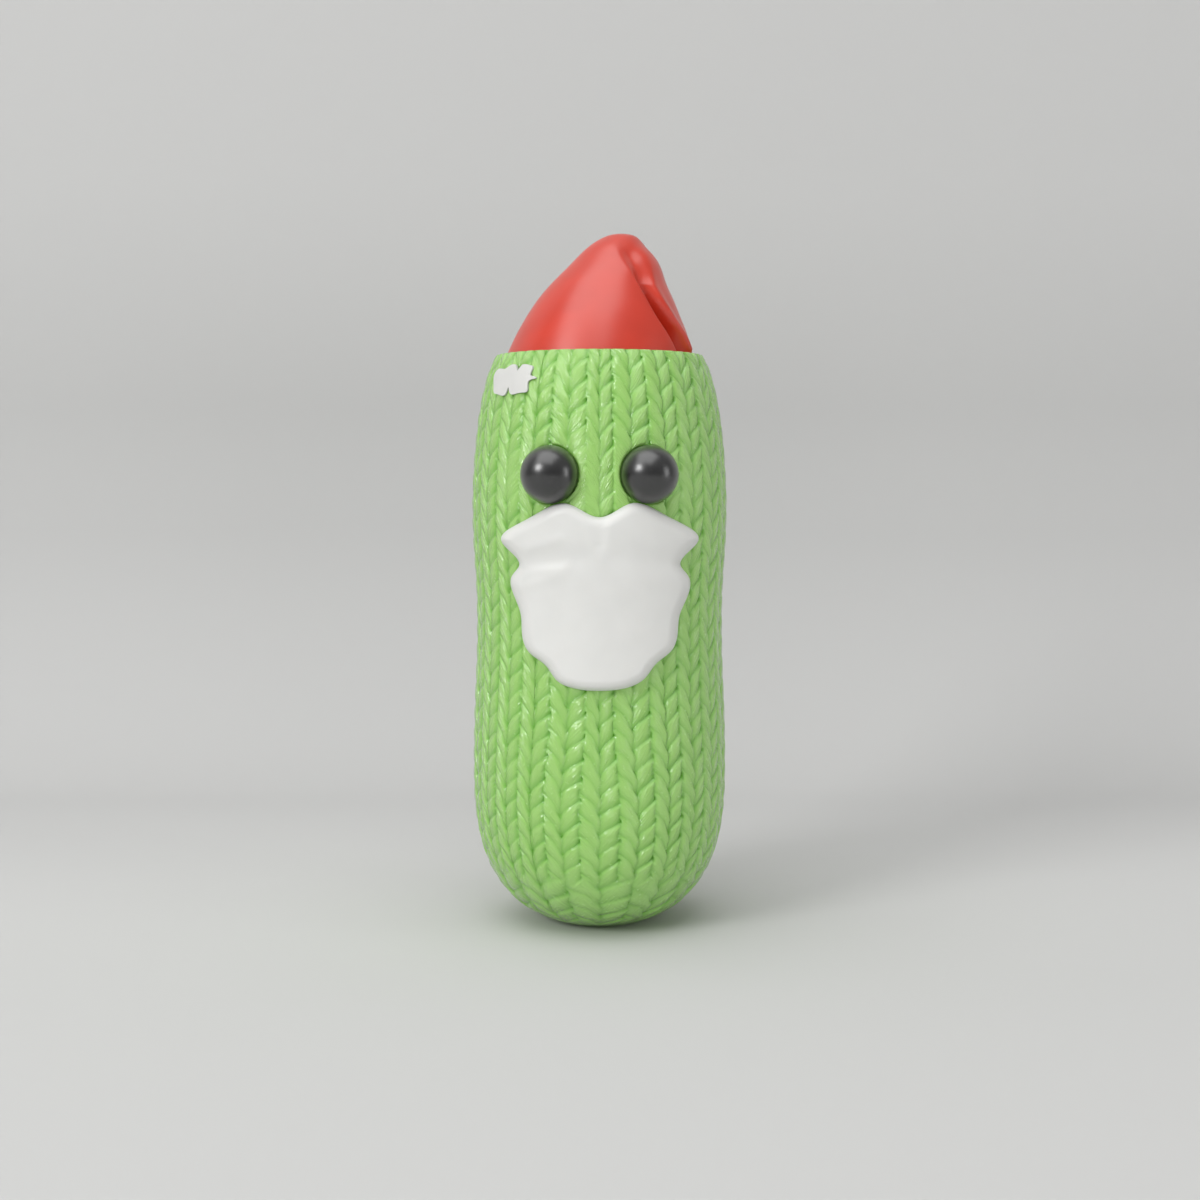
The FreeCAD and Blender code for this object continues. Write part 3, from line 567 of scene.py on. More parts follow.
# ---- body
@dataclass
class KnitBody:
    """The two body shells, with the knit relief cut in from the outline over its crowns.

    The outline is four Bezier curves end to end. A stitch leg lies between two creases that climb
    away from the middle of its column.
    """

    foot_radius: float = 6.2
    foot_slope: float = 12.3
    foot_swell: float = 0.65
    radius: float = 20.3
    waist: float = 19.65
    rim_radius: float = 16.4
    rim_height: float = 90.4
    rim_lean: float = 33.0
    rim_pull: float = 5.8
    # heights of the outline's joints and free poles; between the joints its poles stand at the pull
    foot_pole: float = 19.25
    belly_height: float = 26.0
    waist_height: float = 49.0
    chest_height: float = 66.5
    chest_pole: float = 71.5
    pull: float = 0.42
    wall: float = 1.8
    # the mouth's bore, the collar's groove below it and its seat; the boss in the foot and its bore
    mouth_radius: float = 15.0
    groove_radius: float = 16.25
    groove_top: float = 88.0
    groove_foot: float = 81.2
    seat_radius: float = 14.2
    seat_foot: float = 80.0
    boss: tuple[Pair, ...] = ((5.0, 5.4), (2.4, 5.4), (2.4, 17.5), (0.0, 17.5))
    middle_half: float = 6.0
    middle_half_foot: float = 8.9
    second_width: float = 16.4
    side_columns: float = 6.0
    all_columns: float = 11.5
    climb: float = 1.1
    climb_right: float = 0.76
    climb_left: float = 1.15
    power_right: float = 0.85
    power_left: float = 0.62
    # how a leg's section leans and how full it is
    lean_right: float = 1.7
    lean_left: float = 1.35
    fullness: float = 0.6
    leg_depth: float = 0.30
    middle_depth: float = 0.28
    border_depth: float = 0.22
    pit_depth: float = 0.18
    # depth where the painted crease shade reaches its darkest green
    deepest: float = 0.75
    # shares of the right legs' depths that the left ones have, and how uneven the stitches are
    left_leg: float = 0.65
    left_pit: float = 0.45
    unevenness: float = 0.25
    sway: float = 0.03
    # the foot's stitches: where they begin, how long the change takes, their size and depth
    foot_stitches: float = 8.0
    foot_change: float = 4.0
    foot_size: Pair = (2.0, 1.15)
    foot_share: float = 0.9
    # the relief starts above the foot, and is cut square to the outline up to a height
    plain_foot: float = 0.15
    foot_fade: float = 3.5
    foot_tilt: float = 9.0
    # rows over which the grid starts and stops to climb, and degrees that a socket may lie away
    level_rows: float = 3.2
    socket_reach: float = 45.0
    # fine lines round the body where the mould's rings meet
    mould_lines: Pair = (80.8, 17.2)
    line_width: float = 0.12
    line_depth: float = 0.05
    rows_per_stitch: int = 22
    steps_per_leg: int = 16
    rear_steps_per_leg: int = 12
    # size of a stitch on the materials' map
    map_width: float = 5.4
    map_height: float = 3.3
    # heights where the stitches' lowest points lie on the front line, and their row numbers
    row_heights: Row = (8.2, 11.0, 14.0, 17.1, 20.2, 23.4, 26.6, 76.95, 80.15, 83.35, 86.55, 89.75)
    row_numbers: Row = (0, 1, 2, 3, 4, 5, 6, 21, 22, 23, 24, 25)
    # sockets that the eyes lie in: angle, height, radius, extra depth
    sockets: tuple[Row, ...] = ((-21.4, 71.7, 4.36, 0.5), (21.4, 71.7, 4.36, 0.5))
    socket_edge: float = 0.25
    # places where the relief runs out smooth: angle, height, half width, half height, share lost
    smooth_places: tuple[Row, ...] = (
        (-5.5, 71.0, 6.5, 6.5, 0.85), (9.0, 70.5, 3.0, 6.0, 0.80), (-41.0, 71.5, 7.0, 4.5, 0.70),
        (38.0, 70.5, 5.0, 4.0, 0.45))

    def __post_init__(self) -> None:
        """Work out the outline and the row number of each of its points."""
        lean, corner = math.radians(self.rim_lean), self.radius + self.foot_swell
        low, mid, high = self.belly_height, self.waist_height, self.chest_height
        lower, upper = self.pull * (mid - low), self.pull * (high - mid)
        climb = (corner - self.foot_radius) * math.tan(math.radians(self.foot_slope))
        poles = [(self.foot_radius, 0.0), (corner, climb), (self.radius, self.foot_pole), (self.radius, low),
                 (self.radius, low + lower), (self.waist, mid - lower), (self.waist, mid),
                 (self.waist, mid + upper), (self.radius, high - upper), (self.radius, high),
                 (self.radius, self.chest_pole), (self.rim_radius + self.rim_pull * math.sin(lean),
                                                  self.rim_height - self.rim_pull * math.cos(lean)),
                 (self.rim_radius, self.rim_height)]
        parts = [bezier(poles[start:start + 4], 400) for start in range(0, len(poles) - 1, 3)]
        self.outline = np.concatenate([parts[0]] + [part[1:] for part in parts[1:]])
        self.length = travelled(self.outline)
        known = np.interp(self.row_heights, self.outline[:, 1], self.length)
        numbers = np.array(self.row_numbers, float)
        before = numbers[0] - known[0] / (known[1] - known[0])
        last = (numbers[-1] - numbers[-2]) / (known[-1] - known[-2])
        after = numbers[-1] + (self.length[-1] - known[-1]) * last
        self.row = np.interp(self.length, np.concatenate([[0.0], known, [self.length[-1]]]),
                             np.concatenate([[before], numbers, [after]]))

    def radius_at(self, height: Array) -> Array:
        """Radius of the outline at a height."""
        return np.interp(height, self.outline[:, 1], self.outline[:, 0])

    def column_angle(self, column: Array, height: Array) -> Array:
        """Angle from the front of a stitch column's coordinate: straight pieces between column edges.

        Args:
            column: Column coordinate, whole in the middle of each column, negative to the left.
            height: Height, because the middle column widens towards the foot.

        Returns:
            The angle in degrees, negative to the left.
        """
        away = np.abs(column)
        middle = self.middle_half + (self.middle_half_foot - self.middle_half) * ease((37.0 - height) / 17.0)
        second = middle + self.second_width
        side = second + (away - 1.5) * (90.0 - second) / (self.side_columns - 1.5)
        rear = 90.0 + (away - self.side_columns) * 90.0 / (self.all_columns - self.side_columns)
        angle = np.select([away < 0.5, away < 1.5, away < self.side_columns],
                          [away * 2.0 * middle, middle + (away - 0.5) * self.second_width, side], rear)
        return np.sign(column) * angle

    def rise(self, across: Array) -> Array:
        """Rows that the grid climbs from a column's middle (0) to its edge (1), steep at first."""
        return self.climb * (across + 0.3 * across * (1.0 - across))

    def depth(self, column: Array, row: Array, angle: Array, height: Array) -> Array:
        """How deep the relief lies under the crowns: creases, the columns' middle lines, edges and pits.

        Args:
            column: Column coordinate of each point.
            row: Row coordinate of each point.
            angle: Angle of each point.
            height: Height of each point.

        Returns:
            Depth in millimetres.
        """
        deep = self._stitches(column, row)
        foot = ease((height - self.foot_stitches) / self.foot_change)
        wide, tall = self.foot_size
        deep = foot * deep + (1.0 - foot) * self.foot_share * self._stitches(column / wide, row / tall)
        keep = np.ones_like(deep)
        for place, level, wide, tall, share in self.smooth_places:
            keep -= share * np.exp(-(((angle - place) / wide) ** 4 + ((height - level) / tall) ** 4)) * keep
        ring = sum(np.exp(-((height - level) / self.line_width) ** 2) for level in self.mould_lines)
        deep = deep * keep * ease((height - self.plain_foot) / self.foot_fade) + self.line_depth * ring
        for place, level, radius, extra in self.sockets:
            away = np.hypot(self.radius * np.sin(np.radians(angle - place)), height - level)
            inside = ease((radius + self.socket_edge - away) / self.socket_edge)
            deep = np.maximum(deep, extra * np.where(np.abs(angle - place) < self.socket_reach, inside, 0.0))
        return deep

    def _stitches(self, column: Array, row: Array) -> Array:
        """Depth of plain stitches: 1 - (1 - (2 share^lean - 1)²)^fullness from crease to crease of a leg.

        The right legs climb less than the left ones. Broad valleys part the columns, narrow ones
        part the two legs of a column, and a pit lies under each leg's outer end. Slow sines sway them.

        Args:
            column: Column coordinate of each point.
            row: Row coordinate of each point.

        Returns:
            Depth in millimetres.
        """
        whole = np.round(column)
        column = column + self.sway * np.sin(2 * np.pi * row) + 0.02 * np.sin(0.9 * row + 2.1 * whole)
        row = row + 0.05 * np.sin(1.3 * row + 2.7 * column)
        whole = np.round(column)
        offset = column - whole
        across = 2.0 * np.abs(offset)
        right = offset > 0
        climb = np.where(right, self.climb_right * across ** self.power_right,
                         self.climb_left * across ** self.power_left)
        share = (row - climb) % 1.0
        lean = np.where(right, self.lean_right, self.lean_left)
        leg = np.clip(1.0 - (2.0 * share ** lean - 1.0) ** 2, 0.0, 1.0) ** self.fullness
        ends = np.abs(2.0 * across - 1.0)
        middle = self.middle_depth * np.where(across < 0.5, np.where(right, ends ** 3, 0.8 * ends ** 5), 0.0)
        border = self.border_depth * np.where(across > 0.5, ends ** np.where(right, 5, 3), 0.0)
        pit = self.pit_depth * np.where(right, 1.0, self.left_pit) * (1.0 - leg) * ease((across - 0.5) / 0.5)
        vary = 1.0 + self.unevenness * np.sin(1.9 * row + 4.3 * whole)
        ridge = vary * np.where(right, 1.0, self.left_leg) * self.leg_depth * (1.0 - leg)
        return ridge + middle + border + pit

    def inside(self) -> Array:
        """The shell's inner side from the mouth down to the boss, where the wall is the outline moved in.

        Returns:
            Rows of radius and height.
        """
        step = np.diff(self.outline, axis=0)
        step = np.concatenate([step, step[-1:]])
        normal = np.stack([step[:, 1], -step[:, 0]], axis=1) / np.hypot(*step.T)[:, None]
        wall = (self.outline - self.wall * normal)[::40][::-1]
        floor = self.wall * math.cos(math.radians(self.foot_slope))
        wall = wall[(wall[:, 1] < self.seat_foot - 0.1) & (wall[:, 1] > floor)]
        mouth = [(self.mouth_radius, self.rim_height), (self.mouth_radius, self.groove_top),
                 (self.groove_radius, self.groove_top), (self.groove_radius, self.groove_foot),
                 (self.seat_radius, self.groove_foot), (self.seat_radius, self.seat_foot),
                 (self.radius_at(np.array(self.seat_foot)) - self.wall, self.seat_foot)]
        return np.concatenate([mouth, wall, [(self.foot_radius, floor), (self.boss[0][0], floor)], self.boss])

    def sector(self, name: str, start: float, end: float, steps: int) -> Object:
        """One slice of a shell between two column middles, closed on all sides.

        Points run up the outside on rows that follow the creases, over the rim and down the inside.
        A point lies at (radius sin angle, -radius cos angle, height), moved in by the relief.

        Args:
            name: Name of the piece.
            start: Column coordinate of the left side.
            end: Column coordinate of the right side.
            steps: Grid steps per stitch leg.

        Returns:
            The piece.
        """
        column = np.linspace(start, end, int(round(2 * (end - start) * steps)) + 1)
        first, last = self.row[0], self.row[-1]
        rows = np.arange(math.ceil(first * self.rows_per_stitch) + 1, math.floor(last * self.rows_per_stitch))
        rows = np.concatenate([[first], rows / self.rows_per_stitch, [last]])[:, None]
        across = 2.0 * np.abs(column - np.round(column))
        shear = ease((rows - first) / self.level_rows) * ease((last - rows) / self.level_rows)
        row = rows + shear * self.rise(across)
        length = np.interp(row, self.row, self.length)
        radius, height = (np.interp(length, self.length, self.outline[:, axis]) for axis in range(2))
        column = np.broadcast_to(column, row.shape)
        angle = self.column_angle(column, height)
        deep = self.depth(column, row, angle, height)
        tilt = np.interp(length, self.length[1:], np.arctan2(*np.diff(self.outline, axis=0).T))
        tilt = (1.0 - ease((height - self.foot_tilt) / self.foot_tilt)) * tilt
        within, level = self.inside().T[..., None]
        within_angle = self.column_angle(column[:1], level)

        def whole(below: Array | float, outer: Array, inner: Array | float) -> Array:
            """Join what the foot's middle, the outside's points and the inside's points have."""
            return np.concatenate([below + 0 * column[:1], outer, inner + 0 * within_angle])

        turn = np.radians(whole(angle[:1], angle, within_angle))
        radius = whole(0.0, radius - deep * np.cos(tilt), within)
        points = around(radius, turn, whole(0.0, height + deep * np.sin(tilt), level))
        count, width = radius.shape
        quads = grid_quads(count, width)
        edge = np.arange(count) * width
        sides = [edge[None, ::-1][:, 1:], edge[None, :][:, 1:] + width - 1]
        along = (row - self.rise(np.broadcast_to(across, row.shape))) * self.map_height
        uv = np.stack([whole(column[:1], column, column[:1]) * self.map_width,
                       whole(along[:1], along, level)], axis=-1)
        # depth: the relief's depth, which the finish turns into painted shade in the creases
        marks = {"depth": whole(0.0, deep / self.deepest, 0.0).ravel(),
                 "outside": whole(0.0, 1.0 + 0 * deep, 0.0).ravel()}
        return make_piece(name, points.reshape(-1, 3), [quads] + sides, 75.0, uv.reshape(-1, 2), marks)

    def build(self, finish: Material) -> list[Object]:
        """Make the slices of both shells and dress them.

        Args:
            finish: Material of the shells.

        Returns:
            The pieces.
        """
        rear = self.rear_steps_per_leg
        plan = [
            ("front_shell_left", "body_front_shell", -6.0, -2.0, self.steps_per_leg),
            ("front_shell_middle", "body_front_shell", -2.0, 2.0, self.steps_per_leg),
            ("front_shell_right", "body_front_shell", 2.0, 6.0, self.steps_per_leg),
            ("rear_shell_right", "body_rear_shell", 6.0, 10.0, rear),
            ("rear_shell_middle_right", "body_rear_shell", 10.0, 11.5, rear),
            ("rear_shell_middle_left", "body_rear_shell", -11.5, -10.0, rear),
            ("rear_shell_left", "body_rear_shell", -10.0, -6.0, rear),
        ]
        return [dress(self.sector(name, start, end, steps), finish, node, "pickle")
                for name, node, start, end, steps in plan]


# ---- hat
@dataclass
class FoldedHat:
    """The red hat: sections between a left and a right edge, with a valley where the tip folds over."""

    base: float = 90.4
    height: float = 19.15
    crown_x: float = 3.3
    drop: float = 0.25
    neck_radius: float = 13.59
    ridge_height: float = 0.5
    ridge_width: float = 6.0
    ridge_end: float = 14.0
    ridge_fade: float = 8.0
    hollow_share: float = 0.78
    hollow_drop: float = 2.2
    hollow_foot: float = 1.2
    rows: int = 170
    coarse_step: float = 1.5
    fine_step: float = 0.35
    fine_from: float = -6.0
    fine_to: float = 76.0
    # from the hollow down, out and up the neck: radius beyond the neck's and height above the rim
    neck: tuple[Pair, ...] = (
        (-4.09, 1.0), (-4.09, -1.5), (-1.4, -1.5), (-1.4, -6.4), (0.0, -6.4), (0.0, -4.4), (0.3, -4.1),
        (0.3, -3.1), (0.0, -2.8), (0.0, -0.25))
    # height above the rim, left edge, right edge, half depth
    stations: tuple[Row, ...] = (
        (0.0, -14.75, 14.75, 14.75), (3.6, -13.05, 13.85, 13.50), (5.8, -11.80, 12.95, 12.60),
        (8.6, -9.95, 11.82, 11.15), (11.0, -7.95, 10.72, 9.75), (13.65, -5.30, 9.80, 7.95),
        (15.3, -3.70, 8.92, 6.60), (16.8, -2.15, 7.62, 5.20), (18.2, -0.15, 6.45, 3.40),
        (18.9, 1.45, 5.35, 1.95))
    # height, angle where the valley's floor starts, its depth, degrees of its front, floor and tip side
    valley: tuple[Row, ...] = (
        (0.0, 57.0, 3.6, 3.0, 7.0, 13.0), (2.45, 51.4, 3.6, 3.0, 6.0, 12.0), (4.5, 45.5, 3.2, 3.0, 5.0, 11.0),
        (6.3, 41.0, 2.6, 3.0, 4.0, 11.0), (8.5, 36.5, 1.9, 3.5, 2.5, 11.0), (10.5, 33.0, 1.2, 6.0, 0.0, 14.0),
        (12.65, 29.0, 0.85, 12.0, 0.0, 20.0), (14.8, 22.0, 0.6, 18.0, 0.0, 30.0),
        (17.0, 16.0, 0.25, 24.0, 0.0, 34.0), (18.4, 14.0, 0.0, 24.0, 0.0, 34.0),
        (19.2, 14.0, 0.0, 24.0, 0.0, 34.0))
    dents: tuple[Row, ...] = ((6.0, 107.2, 4.9, 105.4, 1.3, -0.22),)

    def reach(self, angle: Array, share: Array) -> tuple[Array, ...]:
        """Outer surface: an ellipse between the edges, less the valley and the dents, with a ridge beside it.

        Args:
            angle: Degrees from the front to the right.
            share: From 0 at the rim to 1 at the crown; the height is 1 - (1 - share)² of the whole.

        Returns:
            Places across, back and up, in millimetres.
        """
        above = self.height * (1.0 - (1.0 - share) ** 2)
        levels, *edges = np.array(self.stations + ((self.height, self.crown_x, self.crown_x, 0.0),)).T
        knots = 1.0 - np.sqrt(1.0 - levels / self.height)
        left, right, depth = (spline(knots, edge, share) for edge in edges)
        middle, half = (left + right) / 2, (right - left) / 2
        heights, places, depths, fronts, floors, tips = np.array(self.valley).T
        offset = angle - spline(heights, places, above)
        front, floor, tip = (np.interp(above, heights, widths) for widths in (fronts, floors, tips))
        valley = np.where(offset < 0, ease(1.0 + offset / front), ease(1.0 - (offset - floor) / tip))
        ridge = self.ridge_height * np.exp(-((offset - floor - tip) / self.ridge_width) ** 2)
        ridge = ridge * ease((self.ridge_end - above) / self.ridge_fade) * ease(above)
        turn = np.radians(angle)
        out = 1.0 / np.hypot(np.sin(turn) / np.maximum(half, 1e-6), np.cos(turn) / np.maximum(depth, 1e-6))
        out = out - (np.interp(above, heights, depths) * valley - ridge) * np.minimum(half / 6.0, 1.0)
        across, up = middle + out * np.sin(turn), self.base + above
        facing = np.cos(turn) > 0
        out = out + np.where(facing, bumps_along(across, up, self.dents), 0.0) * np.minimum(half / 3.0, 1.0)
        return middle + out * np.sin(turn), -out * np.cos(turn), up

    def build(self, finish: Material) -> Object:
        """Make the hat with its skirt, neck and hollow, and dress it.

        Args:
            finish: Material of the hat.

        Returns:
            The piece.
        """
        ranges = ((-180.0, self.fine_from, self.coarse_step), (self.fine_from, self.fine_to, self.fine_step),
                  (self.fine_to, 180.0, self.coarse_step))
        angle = np.concatenate([np.arange(*each) for each in ranges])
        share = np.linspace(0.0, 1.0, self.rows)[:, None]
        outside = np.stack(np.broadcast_arrays(*self.reach(angle[None, :], share)), axis=-1)
        skirt = outside[:1] + 0.0
        skirt[..., 2] = self.base - self.drop
        wider, higher = np.array(self.neck).T[..., None]
        rings = around(self.neck_radius + wider, np.radians(angle), self.base + higher)
        shrink = np.array([self.hollow_share, self.hollow_share, 1.0])
        hollow = outside[::8][::-1] * shrink - np.array([0.0, 0.0, self.hollow_drop])
        hollow = hollow[hollow[:, 0, 2] > self.base + self.hollow_foot]
        points = np.concatenate([hollow, rings, skirt, outside])
        count, width = points.shape[:2]
        piece = make_piece("folded_hat", points.reshape(-1, 3), [grid_quads(count, width, closed=True)], 70.0)
        return dress(piece, finish, "hat_shell", "hat")


# ---- beard
@dataclass
class Beard:
    """Moustache and beard: a slab over an outline, with a rounded rim and soft folds."""

    body: KnitBody
    thickness: float = 2.2
    rim_round: float = 1.7
    fold_inset: float = 1.5
    crown_inset: float = 0.3
    gap: float = 0.04
    columns: int = 520
    rows: int = 72
    centre: Pair = (0.0, 58.6)
    outline: tuple[Pair, ...] = (
        (0.1, 65.4), (4.4, 67.35), (10.6, 65.25), (15.0, 61.6), (12.2, 58.15), (13.5, 56.3), (13.3, 53.1),
        (12.1, 50.3), (11.8, 47.4), (11.0, 45.3), (8.4, 43.2), (6.9, 41.3), (4.5, 40.0), (0.2, 39.5),
        (-4.2, 39.9), (-6.5, 41.0), (-8.0, 43.0), (-10.7, 45.0), (-11.7, 47.4), (-11.9, 50.5),
        (-13.0, 53.5), (-13.3, 56.3), (-12.1, 58.05), (-14.9, 61.6), (-10.9, 65.0), (-4.5, 67.3))
    folds: tuple[Row, ...] = (
        (-12.2, 58.3, -3.0, 59.4, 1.9, -0.30), (12.2, 58.3, 3.0, 59.6, 2.0, -0.22),
        (-12.2, 56.9, -5.0, 58.0, 0.9, 0.14), (-11.5, 55.0, -5.5, 57.0, 1.0, 0.12),
        (-10.5, 60.8, -6.0, 62.2, 0.9, 0.12), (1.0, 61.0, 1.2, 63.8, 1.0, 0.13),
        (0.2, 65.2, 0.4, 61.5, 1.3, -0.25))
    pegs: tuple[Pair, ...] = ((-6.5, 60.5), (6.5, 60.5), (0.0, 46.0))
    peg_radius: float = 1.2
    peg_end: float = -13.0
    peg_root: float = 2.0

    def over_body(self, x: Array, z: Array, proud: Array) -> Array:
        """Points at (x, z) seen from the front that stand proud of the body's outline."""
        radius = self.body.radius_at(z) + proud
        return np.stack([x, -np.sqrt(radius ** 2 - x ** 2), z], axis=-1)

    def build(self, finish: Material) -> Object:
        """Rings shrink from the outline to the centre, as high as a quarter ellipse of the way to the rim.

        Args:
            finish: Material of the beard.

        Returns:
            The piece.
        """
        rim = closed_through(self.outline, self.columns)[::-1]
        share = 1.0 - (1.0 - np.linspace(0.0, 1.0, self.rows)) ** 1.7
        centre = np.array(self.centre)
        plan = centre + share[:, None, None] * (rim - centre)
        inward = np.stack([np.hypot(*(ring[:, None] - rim[None]).transpose(2, 0, 1)).min(axis=1)
                           for ring in plan])
        bulge = np.sqrt(np.clip(1.0 - (1.0 - np.minimum(inward / self.rim_round, 1.0)) ** 2, 0.0, 1.0))
        x, z = plan[..., 0], plan[..., 1]
        folds = bumps_along(x, z, self.folds) * ease(inward / self.fold_inset)
        top = self.over_body(x, z, self.gap + (self.thickness - self.gap - self.crown_inset) * bulge + folds)
        plan = centre + np.linspace(1.0, 0.0, 10)[:, None, None] * (rim - centre)
        back = self.over_body(plan[..., 0], plan[..., 1], np.full(plan.shape[:2], self.gap))
        points = [np.concatenate([top, back[1:]]).reshape(-1, 3)]
        faces = [grid_quads(len(top) + len(back) - 1, self.columns, closed=True)[:, ::-1]]
        for across, up in self.pegs:
            start = -float(self.body.radius_at(np.array(up))) + self.peg_root
            end = self.peg_end - start
            peg, quads = revolved([(0.0, 0.0), (self.peg_radius, 0.0), (self.peg_radius, end), (0.0, end)],
                                  24, (across, start, up), (0.0, 1.0, 0.0))
            faces.append(quads + sum(len(part) for part in points))
            points.append(peg)
        piece = make_piece("moustache_and_beard", np.concatenate(points), faces, 60.0)
        return dress(piece, finish, "beard", "pickle")


# ---- eyes
class Side(Enum):
    """Which eye, as the sign of its place across."""

    LEFT = -1
    RIGHT = 1


@dataclass
class BallEye:
    """Black ball with a grooved shank, let into the face."""

    side: Side
    radius: float = 4.35
    across: float = 7.42
    height: float = 71.7
    centre_reach: float = 20.4
    back: float = 1.5
    shank_radius: float = 1.4
    shank_end: float = -5.6
    grooves: int = 3
    groove_pitch: float = 0.8
    groove_depth: float = 0.2
    groove_width: float = 0.35

    def build(self, finish: Material) -> Object:
        """The profile is the shank's steps and an arc of the ball; it turns about the eye's own line.

        Args:
            finish: Material of the eye.

        Returns:
            The piece.
        """
        turn = self.side.value * math.asin(self.across / self.centre_reach)
        outward = (math.sin(turn), -math.cos(turn), 0.0)
        centre = (self.centre_reach * outward[0], self.centre_reach * outward[1], self.height)
        profile = [(0.0, self.shank_end), (self.shank_radius, self.shank_end)]
        floor = self.shank_radius - self.groove_depth
        for groove in range(self.grooves):
            low = self.shank_end + self.groove_pitch * (groove + 0.5)
            high = low + self.groove_width
            profile += [(self.shank_radius, low), (floor, low), (floor, high), (self.shank_radius, high)]
        profile.append((self.shank_radius, -self.back))
        lean = np.linspace(-math.asin(self.back / self.radius), np.pi / 2, 64)
        profile += list(zip(self.radius * np.cos(lean), self.radius * np.sin(lean)))
        points, quads = revolved(profile, 96, centre, outward)
        side = self.side.name.lower()
        piece = make_piece(f"{side}_ball_eye", points, [quads], 40.0)
        return dress(piece, finish, f"eye_{side}", "pickle")


# ---- patch
@dataclass
class TornPatch:
    """Plain white patch with an uneven edge, stuck on the knit high on the left."""

    body: KnitBody
    thickness: float = 0.30
    gap: float = 0.04
    columns: int = 400
    rings: int = 24
    back_rings: int = 6
    edge_share: float = 0.8
    radius_there: float = 18.0
    # angle from the front and height of its edge, clockwise
    edge: tuple[Pair, ...] = (
        (-63.0, 87.0), (-60.5, 87.8), (-53.0, 87.8), (-50.2, 88.2), (-44.5, 87.9), (-42.8, 87.1),
        (-41.6, 88.0), (-36.4, 88.1), (-34.0, 87.8), (-34.6, 86.6), (-32.6, 86.35), (-31.0, 86.1),
        (-33.0, 85.95), (-35.2, 85.6), (-35.0, 84.2), (-39.5, 83.95), (-46.0, 84.1), (-47.4, 84.9),
        (-48.6, 84.0), (-55.0, 83.9), (-58.8, 84.2), (-61.0, 85.6))

    def build(self, finish: Material) -> Object:
        """Rings shrink from the edge to the centre, over the body's outline.

        Args:
            finish: Material of the patch.

        Returns:
            The piece.
        """
        scale = math.radians(self.radius_there)
        rim = closed_through([(angle * scale, height) for angle, height in self.edge], self.columns)[::-1]
        centre = rim.mean(axis=0)
        share = np.concatenate([1.0 - (1.0 - np.linspace(0.0, 1.0, self.rings)) ** 2,
                                np.linspace(1.0, 0.0, self.back_rings)])
        proud = self.gap + np.concatenate([np.full(self.rings - 1, self.thickness),
                                           [self.thickness * self.edge_share], np.zeros(self.back_rings)])
        plan = centre + share[:, None, None] * (rim - centre)
        height = plan[..., 1]
        radius, turn = self.body.radius_at(height) + proud[:, None], np.radians(plan[..., 0] / scale)
        points = around(radius, turn, height)
        piece = make_piece("plain_patch", points.reshape(-1, 3),
                           [grid_quads(len(share), self.columns, closed=True)[:, ::-1]], 50.0)
        return dress(piece, finish, "side_patch", "pickle")


# ---- studio
@dataclass
class Lamp:
    """One softbox: where it stands as a direction and a distance, its size and its power."""

    name: str
    direction: Row
    distance: float
    width: float
    tall: float
    power: float
    in_reflections: bool = True
    target: Row = (0.0, 0.0, 0.055)

    def build(self) -> None:
        """Place the lamp and aim it at the ornament."""
        light = bpy.data.lights.new(self.name, "AREA")
        light.shape, light.size, light.size_y, light.energy = "RECTANGLE", self.width, self.tall, self.power
        lamp = bpy.data.objects.new(self.name, light)
        away = Vector(self.direction).normalized()
        lamp.location = Vector(self.target) + away * self.distance
        lamp.rotation_euler = away.to_track_quat("Z", "Y").to_euler()
        lamp.visible_glossy = self.in_reflections
        bpy.context.scene.collection.objects.link(lamp)


